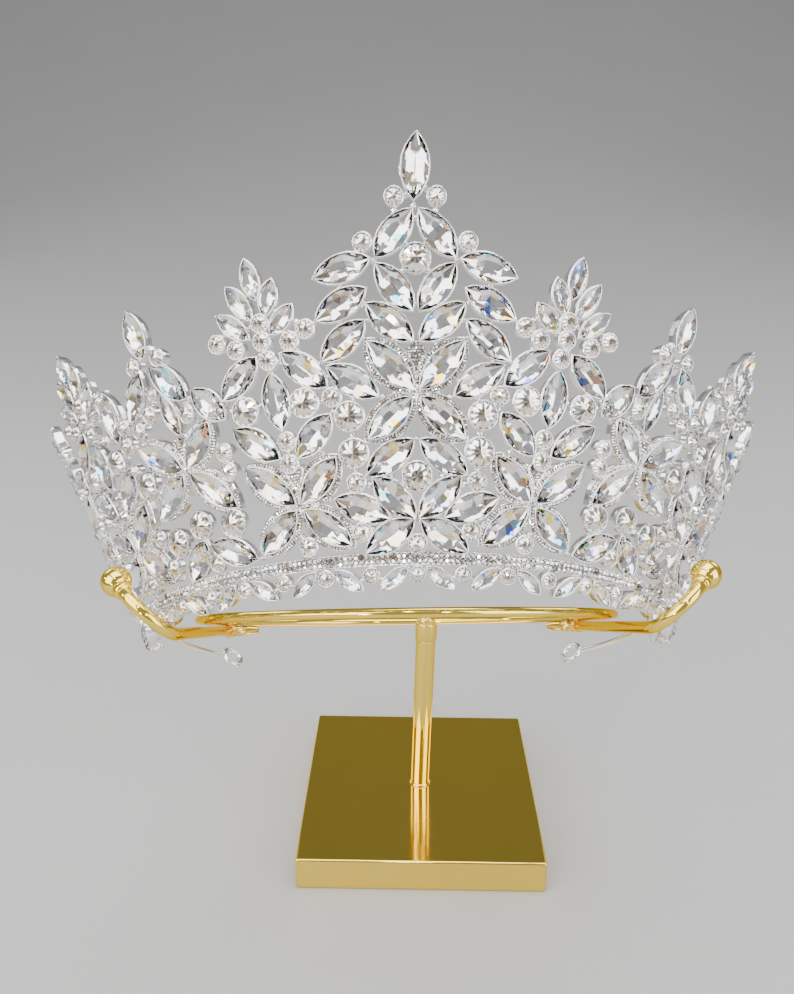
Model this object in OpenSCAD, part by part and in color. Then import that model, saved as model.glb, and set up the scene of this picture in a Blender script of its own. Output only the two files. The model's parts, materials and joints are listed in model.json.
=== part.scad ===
// Crystal crown on a display stand, in millimetres.
// The origin is the centre of the stand's underside, +Z is up and -Y is the front.
// Places on the crown's wall are [distance along the wall, height up the wall] and a lean,
// where the lean turns a stone's long axis from straight up towards the wearer's left hand.

/* [Stand] */
// Side of the square base plate
base_side = 85; // [75:1:100]
// Thickness of the base plate
base_height = 12; // [8:1:20]
// Rounding of the plate's top edge
base_edge = 1; // [0.5:0.1:2]
// Diameter of the upright
pole_width = 7; // [6:0.5:9]
// Radius of the ring, to the middle of its rod
ring_radius = 58.8; // [56:0.2:60]
// Diameter of the ring's rod
ring_rod = 2.4; // [2:0.1:3]
// Diameter of the rod of the two arms
arm_rod = 3; // [2.4:0.1:3.4]
// Radius of the hook at the end of an arm
hook_radius = 8.5; // [8:0.5:9]
// Diameter of the ball on a hook
ball_width = 7; // [6:0.5:8]

/* [Crown pose] */
// Lean of the crown towards its back, in degrees
crown_tilt = 44.4; // [42:0.1:46]
// Turn of the crown on the stand, in degrees
crown_turn = 1.9; // [0:0.1:3]
// Sideways lean of the crown, in degrees
crown_roll = -0.7; // [-1:0.1:1]

/* [Crown wall] */
// Radius of the band's front, outside
band_radius = 78; // [76:0.5:80]
// Angle that the front's arc takes on each side, in degrees
front_half = 50; // [48:1:52]
// Radius of the band where it turns to the back
corner_radius = 38; // [36:0.5:40]
// Straight length after the turn
side_run = 12; // [10:0.5:14]
// Angle by which the wall opens towards its top, in degrees
flare = 28; // [26:0.5:30]
// Half the height of the pave band
band_half = 1.4; // [1.2:0.1:1.8]
// Thickness of the stones' setting plates
plate_depth = 1.2; // [1:0.1:1.5]
// Height of the girdle of a stone over its plate
girdle = 1.1; // [0.9:0.1:1.3]
// Height of the table of a stone over its plate
stone_height = 2.4; // [2:0.1:2.8]

/* [Stones] */
// Width of a navette's setting
navette_width = 6.6; // [6.2:0.1:7]
// Width of a small leaf's setting
leaf_width = 4.6; // [4.2:0.1:5]
// Width of a petal's setting
petal_width = 8.4; // [8:0.1:9]
// Pave border that a petal has beside its stone
petal_border = 1.4; // [1.2:0.1:1.6]
// Diameter of a big round's setting
big_round = 6.7; // [6.3:0.1:7]
// Diameter of a small round's setting
small_round = 4.4; // [4:0.1:4.6]
// Rim that a setting leaves round its stone
setting_rim = 0.45; // [0.35:0.05:0.6]
// How far a plate reaches past its setting, to the plates that it is soldered to
solder = 0.5; // [0.45:0.05:0.6]
// Room between a stone and its plate
seat_gap = 0.15; // [0.1:0.05:0.3]

/* [Hidden] */
curve_sides = 48;
full_turn = 360;

// Sizes of a stone's culet and table against its girdle, and the height of the girdle's band
culet_size = 0.6;
table_size = 0.56;
girdle_band = 0.35;
// How much higher a single stone stands than those of a field
main_rise = 0.3;
// Corners round a stone of a field, and round a single stone or a plate
field_points = 8;
main_points = 12;

// The crown's place: the middle of the band's front arc
crown_place = [-5.9, -52.3, 98.6];
// The ring lies in the crown, turned a little against the band
ring_middle = [0, -4.7, 8.4];
ring_lean = 15.2;
// The base's rounded edge is cut in two steps, the middle one this share of the edge inwards
base_cut = 0.3;
pole_foot = [0, 0, base_height];
foot_height = 1.6;
foot_width = 8.2;
// Angle on the ring, from its front, at which the upright is soldered
pole_at = 171;
pole_over = 0.8;
pole_spin = 70;
collar_drop = 7;
collar_height = 1.6;
collar_width = 8.4;
// The right arm: its free tip, the weld under the ring and the start of the hook
arm_tip = [46.8, 23.4, 13.5];
arm_weld = [54.5, 16.6, 11.4];
arm_end = [55.3, -52.7, -8.75];
weld_width = 5.2;
hook_out = [0.73, -0.12, 0.67];
hook_turn = 130;
hook_collar = 2;
hook_collar_width = 4.2;
ball_reach = 5;
// A straight rod runs this far into a bent one, and is this much slimmer
joint_depth = 0.5;
joint_step = 0.1;

// The wire at the crown's ends: straight back from the wall, then curved inwards to an eye
wire_width = 1.5;
wire_start = [70.9, -18.5, 7.2];
wire_straight = 18.5;
wire_curve = 45;
wire_turn = 44.5;
eye_radius = 3;
eye_rod = 1.8;
ferrule_width = 3;
ferrule_ends = [4.5, 9];

// Plates that overlap differ in depth by this, so that no two faces lie in one plane
plate_step = 0.1;

// Centre lines of the panels, as degrees round the band
fan_line = 17.5;
link_line = 27;
crest_line = 34.5;
side_fan_line = 51;
side_link_line = 68;
side_crest_line = 80;
end_line = 90;

// Navettes and leaves: offset from the centre line, height, lean, length
apex = [0, 80.6, 3, 14.4];
heart_navettes = [
    [4.5, 67.2, -39, 13.2], [15.2, 60.7, -76, 13.2], [4.4, 56.3, 37, 13.2], [15.5, 53.4, -63, 13.2],
    [5.4, 49.2, 50, 13.2], [15.1, 45.9, -52, 13.2], [13.1, 37.5, 56, 13.2], [23.5, 41, 48, 13.2],
    [5.5, 21.3, -55, 13.2], [4.7, 12.9, 44, 13.2], [11.4, 10.9, 67, 13.2], [5.6, 4.8, -57, 13.2]
];
fan_leaves = [
    [2.4, 61.3, 7, 9.7], [-0.9, 56.9, -20, 8.7], [5.7, 57, 29, 10], [7.9, 52.4, 46, 10],
    [-3.1, 52, -45, 8.5]
];
fan_navettes = [[8.3, 41.5, -53, 13], [0.8, 35.3, 3, 13.2], [6.7, 27.2, 50, 13.2], [-6.2, 27, -45, 12.4]];
link_navettes = [[0.9, 38, 41, 11.3], [2.9, 5.5, 65, 13.2]];
crest_tip = [2.8, 58.1, 4, 12.4];
crest_navettes = [[-2.8, 45.4, 40, 13.2], [8.1, 45.4, -40, 13.2], [2.5, 5.5, -43, 11.4]];
end_navettes = [[7.2, 8.1, 8, 13.2], [7.6, 30.5, -12, 12.4]];

// Rounds: offset from the centre line, height
heart_singles = [[0, 62.1], [0, 17.3]];
heart_small = [[4.4, 74.6], [10.9, 65.7], [17.5, 34.6], [12.6, 16.4], [11.4, 5.9]];
heart_bead = [0, 3.1];
heart_big = [[13.9, 30.3], [13.1, 22.6]];
fan_small = [
    [1.9, 48.2], [1.2, 44], [8, 47.6], [12.3, 49.8], [-4.1, 47.3], [-7.8, 49.3], [-0.2, 26.6],
    [0, 21.9], [-1.3, 3.8]
];
fan_bead = [1.7, 52];
fan_big = [[8.1, 34.4], [-5.2, 34.1]];
link_small = [[-0.3, 27], [-0.3, 22.8]];
link_big = [[1.6, 11.7]];
crest_small = [[-1.8, 51.5], [5.9, 51.7], [-5.5, 37.4], [5.1, 40.5], [-2.4, 4]];
crest_big = [[-0.7, 13.1], [7.3, 10.9]];
side_link_small = [[0, 12], [0, 25]];
end_small = [[8, 39.5]];
end_big = [[7.4, 19.8]];

// Flowers: the centre's offset and height, then the direction and length of the four petals
heart_flower = [[0, 34.4], [[42, 15.9], [-42, 15.9], [132, 14.6], [-132, 14.6]]];
fan_flower = [[-0.8, 12.4], [[47, 15.9], [-44, 14.3], [131, 14.1], [-132, 14.5]]];
crest_flower = [[-1.1, 25.3], [[-46, 13.8], [54, 16.3], [-134, 16], [124, 15.1]]];

// The band's depth behind and before the plates, and how its lengths overlap: each starts a
// little way inside the one before it, and is a little slimmer
band_back = 1;
band_face = 0.5;
band_overlap = 1;
band_inset = 0.05;

// The fringe under the band: a leaf between each two rounds
fringe_step = 9.65;
fringe_count = 10;
fringe_round = 3.8;
fringe_round_height = -3.3;
fringe_leaf_height = -4.1;
fringe_leaf = [8.2, 3.8];
fringe_lean = 52;
// How much smaller a leaf of the fringe is than its setting
fringe_rim = 0.8;

// Beads of solder where two settings of a panel stand a little apart: offset, height
bead_width = 2.4;
crest_beads = [[-6.2, 40], [0.3, 54]];
end_beads = [[3.6, 19.3], [7.2, 36.8], [3.5, 33]];

SIDES = [-1, 1];
SIDE_NAMES = ["left", "right"];
FLOWERS = [
    ["fan_left", -1, fan_line, fan_flower], ["fan_right", 1, fan_line, fan_flower],
    ["crest_left", -1, crest_line, crest_flower], ["crest_right", 1, crest_line, crest_flower]
];
PETALS = ["petal_1", "petal_2", "petal_3", "petal_4"];

function turned_x(p, a) = [p.x, p.y*cos(a) - p.z*sin(a), p.y*sin(a) + p.z*cos(a)];
function turned_y(p, a) = [p.x*cos(a) + p.z*sin(a), p.y, p.z*cos(a) - p.x*sin(a)];
function turned_z(p, a) = [p.x*cos(a) - p.y*sin(a), p.x*sin(a) + p.y*cos(a), p.z];
// A point of the crown's frame, in the stand's frame
function posed(p) = crown_place + turned_z(turned_x(turned_y(p, crown_roll), -crown_tilt), crown_turn);
// A point of the ring's rod, at an angle from the front
function on_ring(a) = ring_middle + turned_x(ring_radius*[sin(a), -cos(a), 0], ring_lean);
function unit(v) = v/norm(v);

// How far the wall leans out, and the lengths of its two arcs, at a height up the wall
function outward(s) = s*sin(flare);
function front_arc(s) = front_half*PI/180*(band_radius + outward(s));
function corner_arc(s) = (90 - front_half)*PI/180*(corner_radius + outward(s));
// Distance along the wall of a line at an angle round the band
function along(line, s) = line <= front_half
    ? line*PI/180*(band_radius + outward(s))
    : front_arc(s) + (line - front_half)*PI/180*(corner_radius + outward(s));
corner_middle = (band_radius - corner_radius)*[sin(front_half), -cos(front_half)];

// The petals of a flower as navettes, each from the centre outwards
function petals(flower) = [for (petal = flower[1])
    [flower[0].x + petal[1]/2*sin(petal[0]), flower[0].y + petal[1]/2*cos(petal[0]), petal[0], petal[1]]];
// A petal's stone, inside its pave border
function petal_outline(length, points) =
    navette_outline(length - petal_border - setting_rim, petal_width - 2*petal_border, points);

// A navette's outline: two arcs between two tips, counterclockwise, with an even number of points
function navette_outline(length, width, points) =
    let (
        arc_radius = (length^2 + width^2)/(4*width),
        half_angle = asin(length/2/arc_radius),
        steps = points/2,
        side = [for (i = [0:steps - 1])
            let (a = half_angle*(2*i/steps - 1)) [arc_radius*(cos(a) - 1) + width/2, arc_radius*sin(a)]]
    )
    concat(side, -side);
function round_outline(width, points) =
    [for (i = [0:points - 1]) width/2*[cos(full_turn*(i + 0.5)/points), sin(full_turn*(i + 0.5)/points)]];

module crown_pose() {
    translate(crown_place)
        rotate([0, 0, crown_turn])
            rotate([-crown_tilt, 0, 0])
                rotate([0, crown_roll, 0])
                    children();
}

// Puts a child on the wall, its +Y up the wall before the lean and its +Z outwards
module on_wall(distance, s, lean = 0) {
    side = distance < 0 ? -1 : 1;
    past_front = abs(distance) - front_arc(s);
    past_corner = past_front - corner_arc(s);
    in_front = past_front <= 0;
    radius = (in_front ? band_radius : corner_radius) + outward(s);
    angle = in_front ? abs(distance)/radius*180/PI
        : min(90, front_half + past_front/radius*180/PI);
    middle = in_front ? [0, 0] : corner_middle + [0, max(0, past_corner)];
    translate([side*middle.x, middle.y, s*cos(flare)])
        rotate([0, 0, side*angle])
            translate([0, -radius, 0])
                rotate([90 + flare, 0, 0])
                    rotate([0, 0, -lean])
                        children();
}

// Puts a child at [offset, height, lean] from a panel's centre line, on one side
module on_panel(side, line, row) {
    lean = len(row) > 2 ? row[2] : 0;
    on_wall(side*(along(line, row[1]) + row[0]), row[1], side*lean) children();
}

// A straight rod, turned about its own length by spin, which moves the seam of its surface
module rod(start, end, width, spin = 0) {
    way = end - start;
    translate(start)
        rotate([0, acos(way.z/norm(way)), atan2(way.y, way.x)])
            rotate([0, 0, spin])
                cylinder(h = norm(way), d = width, $fn = curve_sides);
}

module knot(place, width) {
    translate(place) sphere(d = width, $fn = curve_sides);
}

module plate(outline, depth) {
    translate([0, 0, -depth]) linear_extrude(depth) polygon(outline);
}

// A cut stone: culet face, girdle and table, from one outline
module stone(outline, height, levels) {
    points = len(outline);
    last = len(levels) - 1;
    polyhedron(
        points = [for (level = levels) for (p = outline)
            [p.x*level[1], p.y*level[1], seat_gap + level[0]*height]],
        faces = concat(
            [[for (i = [0:points - 1]) i]],
            [for (ring = [0:last - 1]) for (i = [0:points - 1])
                let (next = (i + 1) % points)
                [ring*points + i, (ring + 1)*points + i, (ring + 1)*points + next, ring*points + next]],
            [[for (i = [points - 1:-1:0]) last*points + i]]
        )
    );
}

module field_stone(outline) {
    stone(outline, stone_height, [[0, culet_size], [girdle/stone_height, 1], [1, table_size]]);
}

module main_stone(outline) {
    low = girdle/stone_height;
    stone(outline, stone_height + main_rise, [[0, culet_size], [low, 1], [low + girdle_band/stone_height, 1],
        [1, table_size]]);
}

module navette_stones(side, line, rows, width) {
    for (row = rows)
        on_panel(side, line, row)
            field_stone(navette_outline(row[3] - 2*setting_rim, width - 2*setting_rim, field_points));
}

module round_stones(side, line, rows, width) {
    for (row = rows)
        on_panel(side, line, row) field_stone(round_outline(width - 2*setting_rim, field_points));
}

module navette_plates(side, line, rows, width, depth) {
    for (row = rows)
        on_panel(side, line, row)
            plate(navette_outline(row[3] + 2*solder, width + 2*solder, main_points), depth);
}

module round_plates(side, line, rows, width, depth) {
    for (row = rows)
        on_panel(side, line, row) plate(round_outline(width + 2*solder, main_points), depth);
}

module stand_base() {
    half = base_side/2;
    cut = base_edge*base_cut;
    profile = [
        [-half, 0], [half, 0], [half, base_height - base_edge], [half - cut, base_height - cut],
        [half - base_edge, base_height], [base_edge - half, base_height],
        [cut - half, base_height - cut], [-half, base_height - base_edge]
    ];
    color("gold")
        intersection() {
            translate([0, half, 0])
                rotate([90, 0, 0])
                    linear_extrude(base_side) polygon(profile);
            translate([-half, 0, 0])
                rotate([90, 0, 90])
                    linear_extrude(base_side) polygon(profile);
        }
}

// One arm, on the right: stub, straight rod, hook, collar and ball
module arm() {
    way = unit(arm_end - arm_weld);
    out = unit(hook_out - (hook_out*way)*way);
    across = cross(-out, way);
    middle = arm_end + hook_radius*out;
    hook_end = middle + hook_radius*(sin(hook_turn)*way - cos(hook_turn)*out);
    hook_way = cos(hook_turn)*way + sin(hook_turn)*out;
    rod(arm_tip, arm_weld, arm_rod);
    rod(arm_weld, arm_end + joint_depth*way, arm_rod - joint_step);
    knot(arm_weld, weld_width);
    multmatrix([
        [-out.x, way.x, across.x, middle.x],
        [-out.y, way.y, across.y, middle.y],
        [-out.z, way.z, across.z, middle.z]
    ])
        rotate_extrude(angle = hook_turn, $fn = curve_sides)
            translate([hook_radius, 0]) circle(d = arm_rod, $fn = curve_sides);
    rod(hook_end - joint_depth*hook_way, hook_end + ball_reach*hook_way, arm_rod - joint_step);
    rod(hook_end - joint_depth/2*hook_way, hook_end + hook_collar*hook_way, hook_collar_width);
    knot(hook_end + ball_reach*hook_way, ball_width);
}

module stand_rack() {
    pole_top = posed(on_ring(pole_at));
    pole_way = unit(pole_top - pole_foot);
    color("gold") {
        translate(pole_foot) cylinder(h = foot_height, d = foot_width, $fn = curve_sides);
        rod(pole_foot + foot_height/2*pole_way, pole_top + pole_over*pole_way, pole_width, pole_spin);
        rod(pole_top - collar_drop*pole_way, pole_top - (collar_drop - collar_height)*pole_way, collar_width);
        crown_pose() {
            translate(ring_middle)
                rotate([ring_lean, 0, 0])
                    rotate_extrude($fn = 2*curve_sides)
                        translate([ring_radius, 0]) circle(d = ring_rod, $fn = curve_sides);
            arm();
            mirror([1, 0, 0]) arm();
        }
    }
}

// The band's section, with its sides moved in, from [height, depth] on the wall to [radius, height]
module band_section(inset = 0) {
    low = inset - band_half;
    high = band_half - inset;
    back = inset - band_back;
    face = band_face - inset;
    polygon([for (corner = [[low, back], [high, back], [high, face], [low, face]])
        [corner.x*sin(flare) + corner.y*cos(flare), corner.x*cos(flare) - corner.y*sin(flare)]]);
}

module band() {
    rotate([0, 0, -90 - front_half])
        rotate_extrude(angle = 2*front_half, $fn = 4*curve_sides)
            translate([band_radius, 0]) band_section();
    for (side = SIDES)
        mirror([side < 0 ? 1 : 0, 0, 0])
            translate(corner_middle) {
                rotate([0, 0, front_half - 90 - band_overlap])
                    rotate_extrude(angle = 90 - front_half + band_overlap, $fn = 4*curve_sides)
                        translate([corner_radius, 0]) band_section(band_inset);
                translate([0, side_run, 0])
                    rotate([90, 0, 0])
                        linear_extrude(side_run + band_overlap)
                            translate([corner_radius, 0]) band_section(2*band_inset);
            }
}

module flower_plates(side, line, flower) {
    navette_plates(side, line, petals(flower), petal_width, plate_depth + 2*plate_step);
}

module heart_plates() {
    on_wall(0, apex[1], apex[2]) plate(navette_outline(apex[3], navette_width, main_points), plate_depth);
    round_plates(1, 0, heart_singles, big_round, plate_depth - plate_step);
    round_plates(1, 0, [heart_bead], small_round, plate_depth - 2*plate_step);
    flower_plates(1, 0, heart_flower);
    for (side = SIDES) {
        navette_plates(side, 0, heart_navettes, navette_width, plate_depth);
        round_plates(side, 0, heart_small, small_round, plate_depth - 2*plate_step);
        round_plates(side, 0, heart_big, big_round, plate_depth - plate_step);
    }
}

module fan_plates(side, line) {
    flower_plates(side, line, fan_flower);
    navette_plates(side, line, fan_leaves, leaf_width, plate_depth);
    navette_plates(side, line, fan_navettes, navette_width, plate_depth);
    round_plates(side, line, concat(fan_small, [fan_bead]), small_round, plate_depth - 2*plate_step);
    round_plates(side, line, fan_big, big_round, plate_depth - plate_step);
}

module crest_plates(side, line) {
    flower_plates(side, line, crest_flower);
    navette_plates(side, line, concat([crest_tip], crest_navettes), navette_width, plate_depth);
    round_plates(side, line, crest_small, small_round, plate_depth - 2*plate_step);
    round_plates(side, line, crest_big, big_round, plate_depth - plate_step);
    round_plates(side, line, crest_beads, bead_width - 2*solder, plate_depth - 3*plate_step);
}

module link_plates(side) {
    navette_plates(side, link_line, link_navettes, navette_width, plate_depth);
    round_plates(side, link_line, link_small, small_round, plate_depth - 2*plate_step);
    round_plates(side, link_line, link_big, big_round, plate_depth - plate_step);
    navette_plates(side, side_link_line, [link_navettes[0]], navette_width, plate_depth);
    round_plates(side, side_link_line, side_link_small, small_round, plate_depth - 2*plate_step);
    navette_plates(side, end_line, end_navettes, navette_width, plate_depth);
    round_plates(side, end_line, end_small, small_round, plate_depth - 2*plate_step);
    round_plates(side, end_line, end_big, big_round, plate_depth - plate_step);
    round_plates(side, end_line, end_beads, bead_width - 2*solder, plate_depth - 3*plate_step);
}

module fringe_plates() {
    for (i = [-fringe_count:fringe_count])
        on_wall(i*fringe_step, fringe_round_height)
            plate(round_outline(fringe_round + solder, main_points), plate_depth - 2*plate_step);
    for (side = SIDES)
        for (i = [0:fringe_count - 1])
            on_wall(side*(i + 0.5)*fringe_step, fringe_leaf_height, side*(i % 2 == 0 ? -1 : 1)*fringe_lean)
                plate(navette_outline(fringe_leaf.x + solder, fringe_leaf.y + solder, main_points),
                    plate_depth - plate_step);
}

module back_wire() {
    bend = wire_start + [0, wire_straight, 0];
    rod(wire_start, bend, wire_width);
    rod(wire_start + [0, ferrule_ends[0], 0], wire_start + [0, ferrule_ends[1], 0], ferrule_width);
    translate(bend - [wire_curve, 0, 0]) {
        rotate_extrude(angle = wire_turn, $fn = 4*curve_sides)
            translate([wire_curve, 0]) circle(d = wire_width, $fn = curve_sides);
        rotate([0, 0, wire_turn])
            translate([wire_curve, eye_radius, 0])
                rotate_extrude($fn = curve_sides)
                    translate([eye_radius, 0]) circle(d = eye_rod, $fn = curve_sides);
    }
}

module crown_frame() {
    color("silver")
        crown_pose() {
            band();
            heart_plates();
            for (side = SIDES) {
                fan_plates(side, fan_line);
                fan_plates(side, side_fan_line);
                crest_plates(side, crest_line);
                crest_plates(side, side_crest_line);
                link_plates(side);
            }
            fringe_plates();
            back_wire();
            mirror([1, 0, 0]) back_wire();
        }
}

module own_stone(side, line, row, outline) {
    color("aliceblue")
        crown_pose()
            on_panel(side, line, row) main_stone(outline);
}

module own_navette(side, line, row) {
    own_stone(side, line, row,
        navette_outline(row[3] - 2*setting_rim, navette_width - 2*setting_rim, main_points));
}

module own_round(side, line, row) {
    own_stone(side, line, row, round_outline(big_round - 2*setting_rim, main_points));
}

module own_petal(side, line, flower, number) {
    row = petals(flower)[number];
    own_stone(side, line, row, petal_outline(row[3], main_points));
}

module heart_leaves() {
    color("aliceblue")
        crown_pose()
            for (side = SIDES) navette_stones(side, 0, heart_navettes, navette_width);
}

module heart_rounds() {
    color("aliceblue")
        crown_pose() {
            round_stones(1, 0, [heart_bead], small_round);
            for (side = SIDES) {
                round_stones(side, 0, heart_small, small_round);
                round_stones(side, 0, heart_big, big_round);
            }
        }
}

module fan_stones(side, line) {
    color("aliceblue")
        crown_pose() {
            navette_stones(side, line, fan_leaves, leaf_width);
            navette_stones(side, line, fan_navettes, navette_width);
            round_stones(side, line, fan_small, small_round);
            round_stones(side, line, fan_big, big_round);
        }
}

module crest_stones(side, line) {
    color("aliceblue")
        crown_pose() {
            navette_stones(side, line, crest_navettes, navette_width);
            round_stones(side, line, crest_small, small_round);
            round_stones(side, line, crest_big, big_round);
        }
}

module link_stones(side) {
    color("aliceblue")
        crown_pose() {
            navette_stones(side, link_line, link_navettes, navette_width);
            round_stones(side, link_line, link_small, small_round);
            round_stones(side, link_line, link_big, big_round);
        }
}

module flower_field(side, line, flower) {
    color("aliceblue")
        crown_pose()
            for (row = petals(flower))
                on_panel(side, line, row) field_stone(petal_outline(row[3], field_points));
}

module end_stones(side) {
    color("aliceblue")
        crown_pose() {
            navette_stones(side, side_link_line, [link_navettes[0]], navette_width);
            round_stones(side, side_link_line, side_link_small, small_round);
            navette_stones(side, side_crest_line, [crest_tip], navette_width);
            navette_stones(side, end_line, end_navettes, navette_width);
            round_stones(side, end_line, end_small, small_round);
            round_stones(side, end_line, end_big, big_round);
        }
}

module fringe_stones(side) {
    color("aliceblue")
        crown_pose()
            for (i = [0:fringe_count - 1])
                on_wall(side*(i + 0.5)*fringe_step, fringe_leaf_height, side*(i % 2 == 0 ? -1 : 1)*fringe_lean)
                    field_stone(navette_outline(fringe_leaf.x - fringe_rim, fringe_leaf.y - fringe_rim,
                        field_points));
}

stand_base();
stand_rack();
crown_frame();
own_navette(1, 0, apex);  // apex_stone
own_round(1, 0, heart_singles[0]);  // upper_stone
own_round(1, 0, heart_singles[1]);  // lower_stone
heart_leaves();
heart_rounds();
for (i = [0:3])
    own_petal(1, 0, heart_flower, i);
for (flower = FLOWERS)
    for (i = [0:3])
        own_petal(flower[1], flower[2], flower[3], i);
for (i = [0:1]) {
    name = SIDE_NAMES[i];
    own_navette(SIDES[i], crest_line, crest_tip);
    union() {
        fan_stones(SIDES[i], fan_line);
        link_stones(SIDES[i]);
    }
    crest_stones(SIDES[i], crest_line);
    union() {
        fan_stones(SIDES[i], side_fan_line);
        flower_field(SIDES[i], side_fan_line, fan_flower);
    }
    union() {
        crest_stones(SIDES[i], side_crest_line);
        flower_field(SIDES[i], side_crest_line, crest_flower);
        end_stones(SIDES[i]);
    }
    fringe_stones(SIDES[i]);
}
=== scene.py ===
# %% [markdown]
# # A crystal crown on its gold stand
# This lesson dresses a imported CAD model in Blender. The real crown is a tall openwork wall of
# foil-backed crystals in soldered silver settings, leaning back on a gold stand. The CAD gives every
# place and size, so the lesson only swaps plain solids for cut stones, cups, rims and seeds, and gives
# each of them its own finish.

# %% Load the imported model
import bpy
import json
import math
import random
from collections import namedtuple
from mathutils import Matrix, Vector, noise

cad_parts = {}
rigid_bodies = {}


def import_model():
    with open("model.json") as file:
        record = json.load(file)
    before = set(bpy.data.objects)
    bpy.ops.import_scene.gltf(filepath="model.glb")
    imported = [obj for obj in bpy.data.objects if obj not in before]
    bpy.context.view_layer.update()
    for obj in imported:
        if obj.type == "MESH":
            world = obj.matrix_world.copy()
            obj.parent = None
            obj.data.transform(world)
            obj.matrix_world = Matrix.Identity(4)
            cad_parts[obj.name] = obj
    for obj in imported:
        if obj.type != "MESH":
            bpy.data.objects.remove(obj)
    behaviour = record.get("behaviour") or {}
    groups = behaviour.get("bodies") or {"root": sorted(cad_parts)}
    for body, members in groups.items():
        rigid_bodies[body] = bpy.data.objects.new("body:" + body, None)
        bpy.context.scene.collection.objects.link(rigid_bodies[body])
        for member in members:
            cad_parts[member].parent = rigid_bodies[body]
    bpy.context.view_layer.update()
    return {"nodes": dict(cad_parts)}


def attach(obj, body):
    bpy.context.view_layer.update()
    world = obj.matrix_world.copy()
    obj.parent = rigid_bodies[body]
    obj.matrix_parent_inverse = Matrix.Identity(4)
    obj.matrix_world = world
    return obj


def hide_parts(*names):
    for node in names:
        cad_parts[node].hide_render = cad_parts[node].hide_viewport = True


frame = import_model()
MM = 0.001


def put(name, data):
    """A new object at the origin, in the scene."""
    thing = bpy.data.objects.new(name, data)
    bpy.context.collection.objects.link(thing)
    return thing


print("nodes in the frame:", len(frame["nodes"]))

# %% [markdown]
# ## The camera
# The photo was taken from a little above, close to the crown. A camera is a place and three directions,
# so its matrix is written out: its own right, its own up, and the opposite of where it looks. The focal
# length was solved in pixels.

# %% Camera
PHOTO_HEIGHT = 994
FOCAL_PIXELS = 880
CAMERA_PLACE = Vector((-0.0066, -0.278, 0.2292))
CAMERA_YAW = math.radians(-0.63)
CAMERA_DOWN = math.radians(20.16)
CAMERA_ROLL = math.radians(0.51)


def camera_matrix():
    """The camera's place and its three directions, as columns."""
    level = math.cos(CAMERA_DOWN)
    ahead = Vector((math.sin(CAMERA_YAW) * level, math.cos(CAMERA_YAW) * level, -math.sin(CAMERA_DOWN)))
    flat_right = Vector((math.cos(CAMERA_YAW), -math.sin(CAMERA_YAW), 0))
    flat_up = flat_right.cross(ahead)
    right = math.cos(CAMERA_ROLL) * flat_right + math.sin(CAMERA_ROLL) * flat_up
    up = math.cos(CAMERA_ROLL) * flat_up - math.sin(CAMERA_ROLL) * flat_right
    facing = Matrix((right, up, -ahead)).transposed().to_4x4()
    return Matrix.Translation(CAMERA_PLACE) @ facing


camera = put("camera", bpy.data.cameras.new("camera"))
camera.data.sensor_width = 36
camera.data.lens = FOCAL_PIXELS * camera.data.sensor_width / PHOTO_HEIGHT
camera.data.clip_start = 0.01
camera.matrix_world = camera_matrix()
bpy.context.scene.camera = camera
print("lens:", round(camera.data.lens, 2), "mm")

# %% [markdown]
# ## Shader sums as plain expressions
# A finish is a small graph of nodes. Wiring each sum by hand hides what it does, so a socket is wrapped
# in a class whose plus and times add the Math nodes. Any other node comes from one method of the finish.


# %% A socket that can be added and multiplied
class Wire:
    """One output of a node. Sums of wires and numbers add the Math nodes that they need."""

    def __init__(self, finish, socket):
        self.finish = finish
        self.socket = socket

    def sum(self, operation, first, second):
        return self.finish.node("ShaderNodeMath", {0: first, 1: second}, operation=operation)

    def __add__(self, other):
        return self.sum("ADD", self, other)

    def __radd__(self, other):
        return self.sum("ADD", other, self)

    def __mul__(self, other):
        return self.sum("MULTIPLY", self, other)

    def __rmul__(self, other):
        return self.sum("MULTIPLY", other, self)


class Finish:
    """A material that is built node by node."""

    def __init__(self, name):
        self.material = bpy.data.materials.new(name)
        self.material.use_nodes = True
        self.tree = self.material.node_tree
        self.tree.nodes.clear()
        self.place = self.node("ShaderNodeTexCoord", out="Object")

    def node(self, kind, sockets=None, out=0, stops=None, **settings):
        """Adds a node: its settings first, then the values or wires of its sockets. Returns one output."""
        made = self.tree.nodes.new(kind)
        for name, value in settings.items():
            setattr(made, name, value)
        if stops:
            ramp = made.color_ramp
            ramp.interpolation = "CONSTANT"
            for index, (position, colour) in enumerate(stops):
                stop = ramp.elements[index] if index < 2 else ramp.elements.new(position)
                stop.position = position
                stop.color = (*colour, 1)
        for name, value in (sockets or {}).items():
            if isinstance(value, Wire):
                self.tree.links.new(value.socket, made.inputs[name])
            else:
                made.inputs[name].default_value = value
        return Wire(self, made.outputs[out]) if len(made.outputs) else made

    def grain(self, scale, detail=2):
        """Soft noise from 0 to 1 over the piece's own place, in waves for each metre."""
        return self.node("ShaderNodeTexNoise", {"Vector": self.place, "Scale": scale, "Detail": detail})

    def blend(self, share, first, second):
        """The first colour where share is 0 and the second where it is 1."""
        sockets = {0: share, 6: self.paint(first), 7: self.paint(second)}
        return self.node("ShaderNodeMix", sockets, out=2, data_type="RGBA")

    def paint(self, colour):
        """A colour with its alpha, or a wire as it is."""
        return colour if isinstance(colour, Wire) else (*colour, 1)

    def bump(self, height, distance, strength):
        sockets = {"Height": height, "Distance": distance, "Strength": strength}
        return self.node("ShaderNodeBump", sockets)

    def surface(self, **sockets):
        """The shader itself, and the material's output."""
        values = {name.replace("_", " "): value for name, value in sockets.items()}
        shader = self.node("ShaderNodeBsdfPrincipled", values)
        self.node("ShaderNodeOutputMaterial", {"Surface": shader})
        return self.material


print("shader helper ready")

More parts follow.
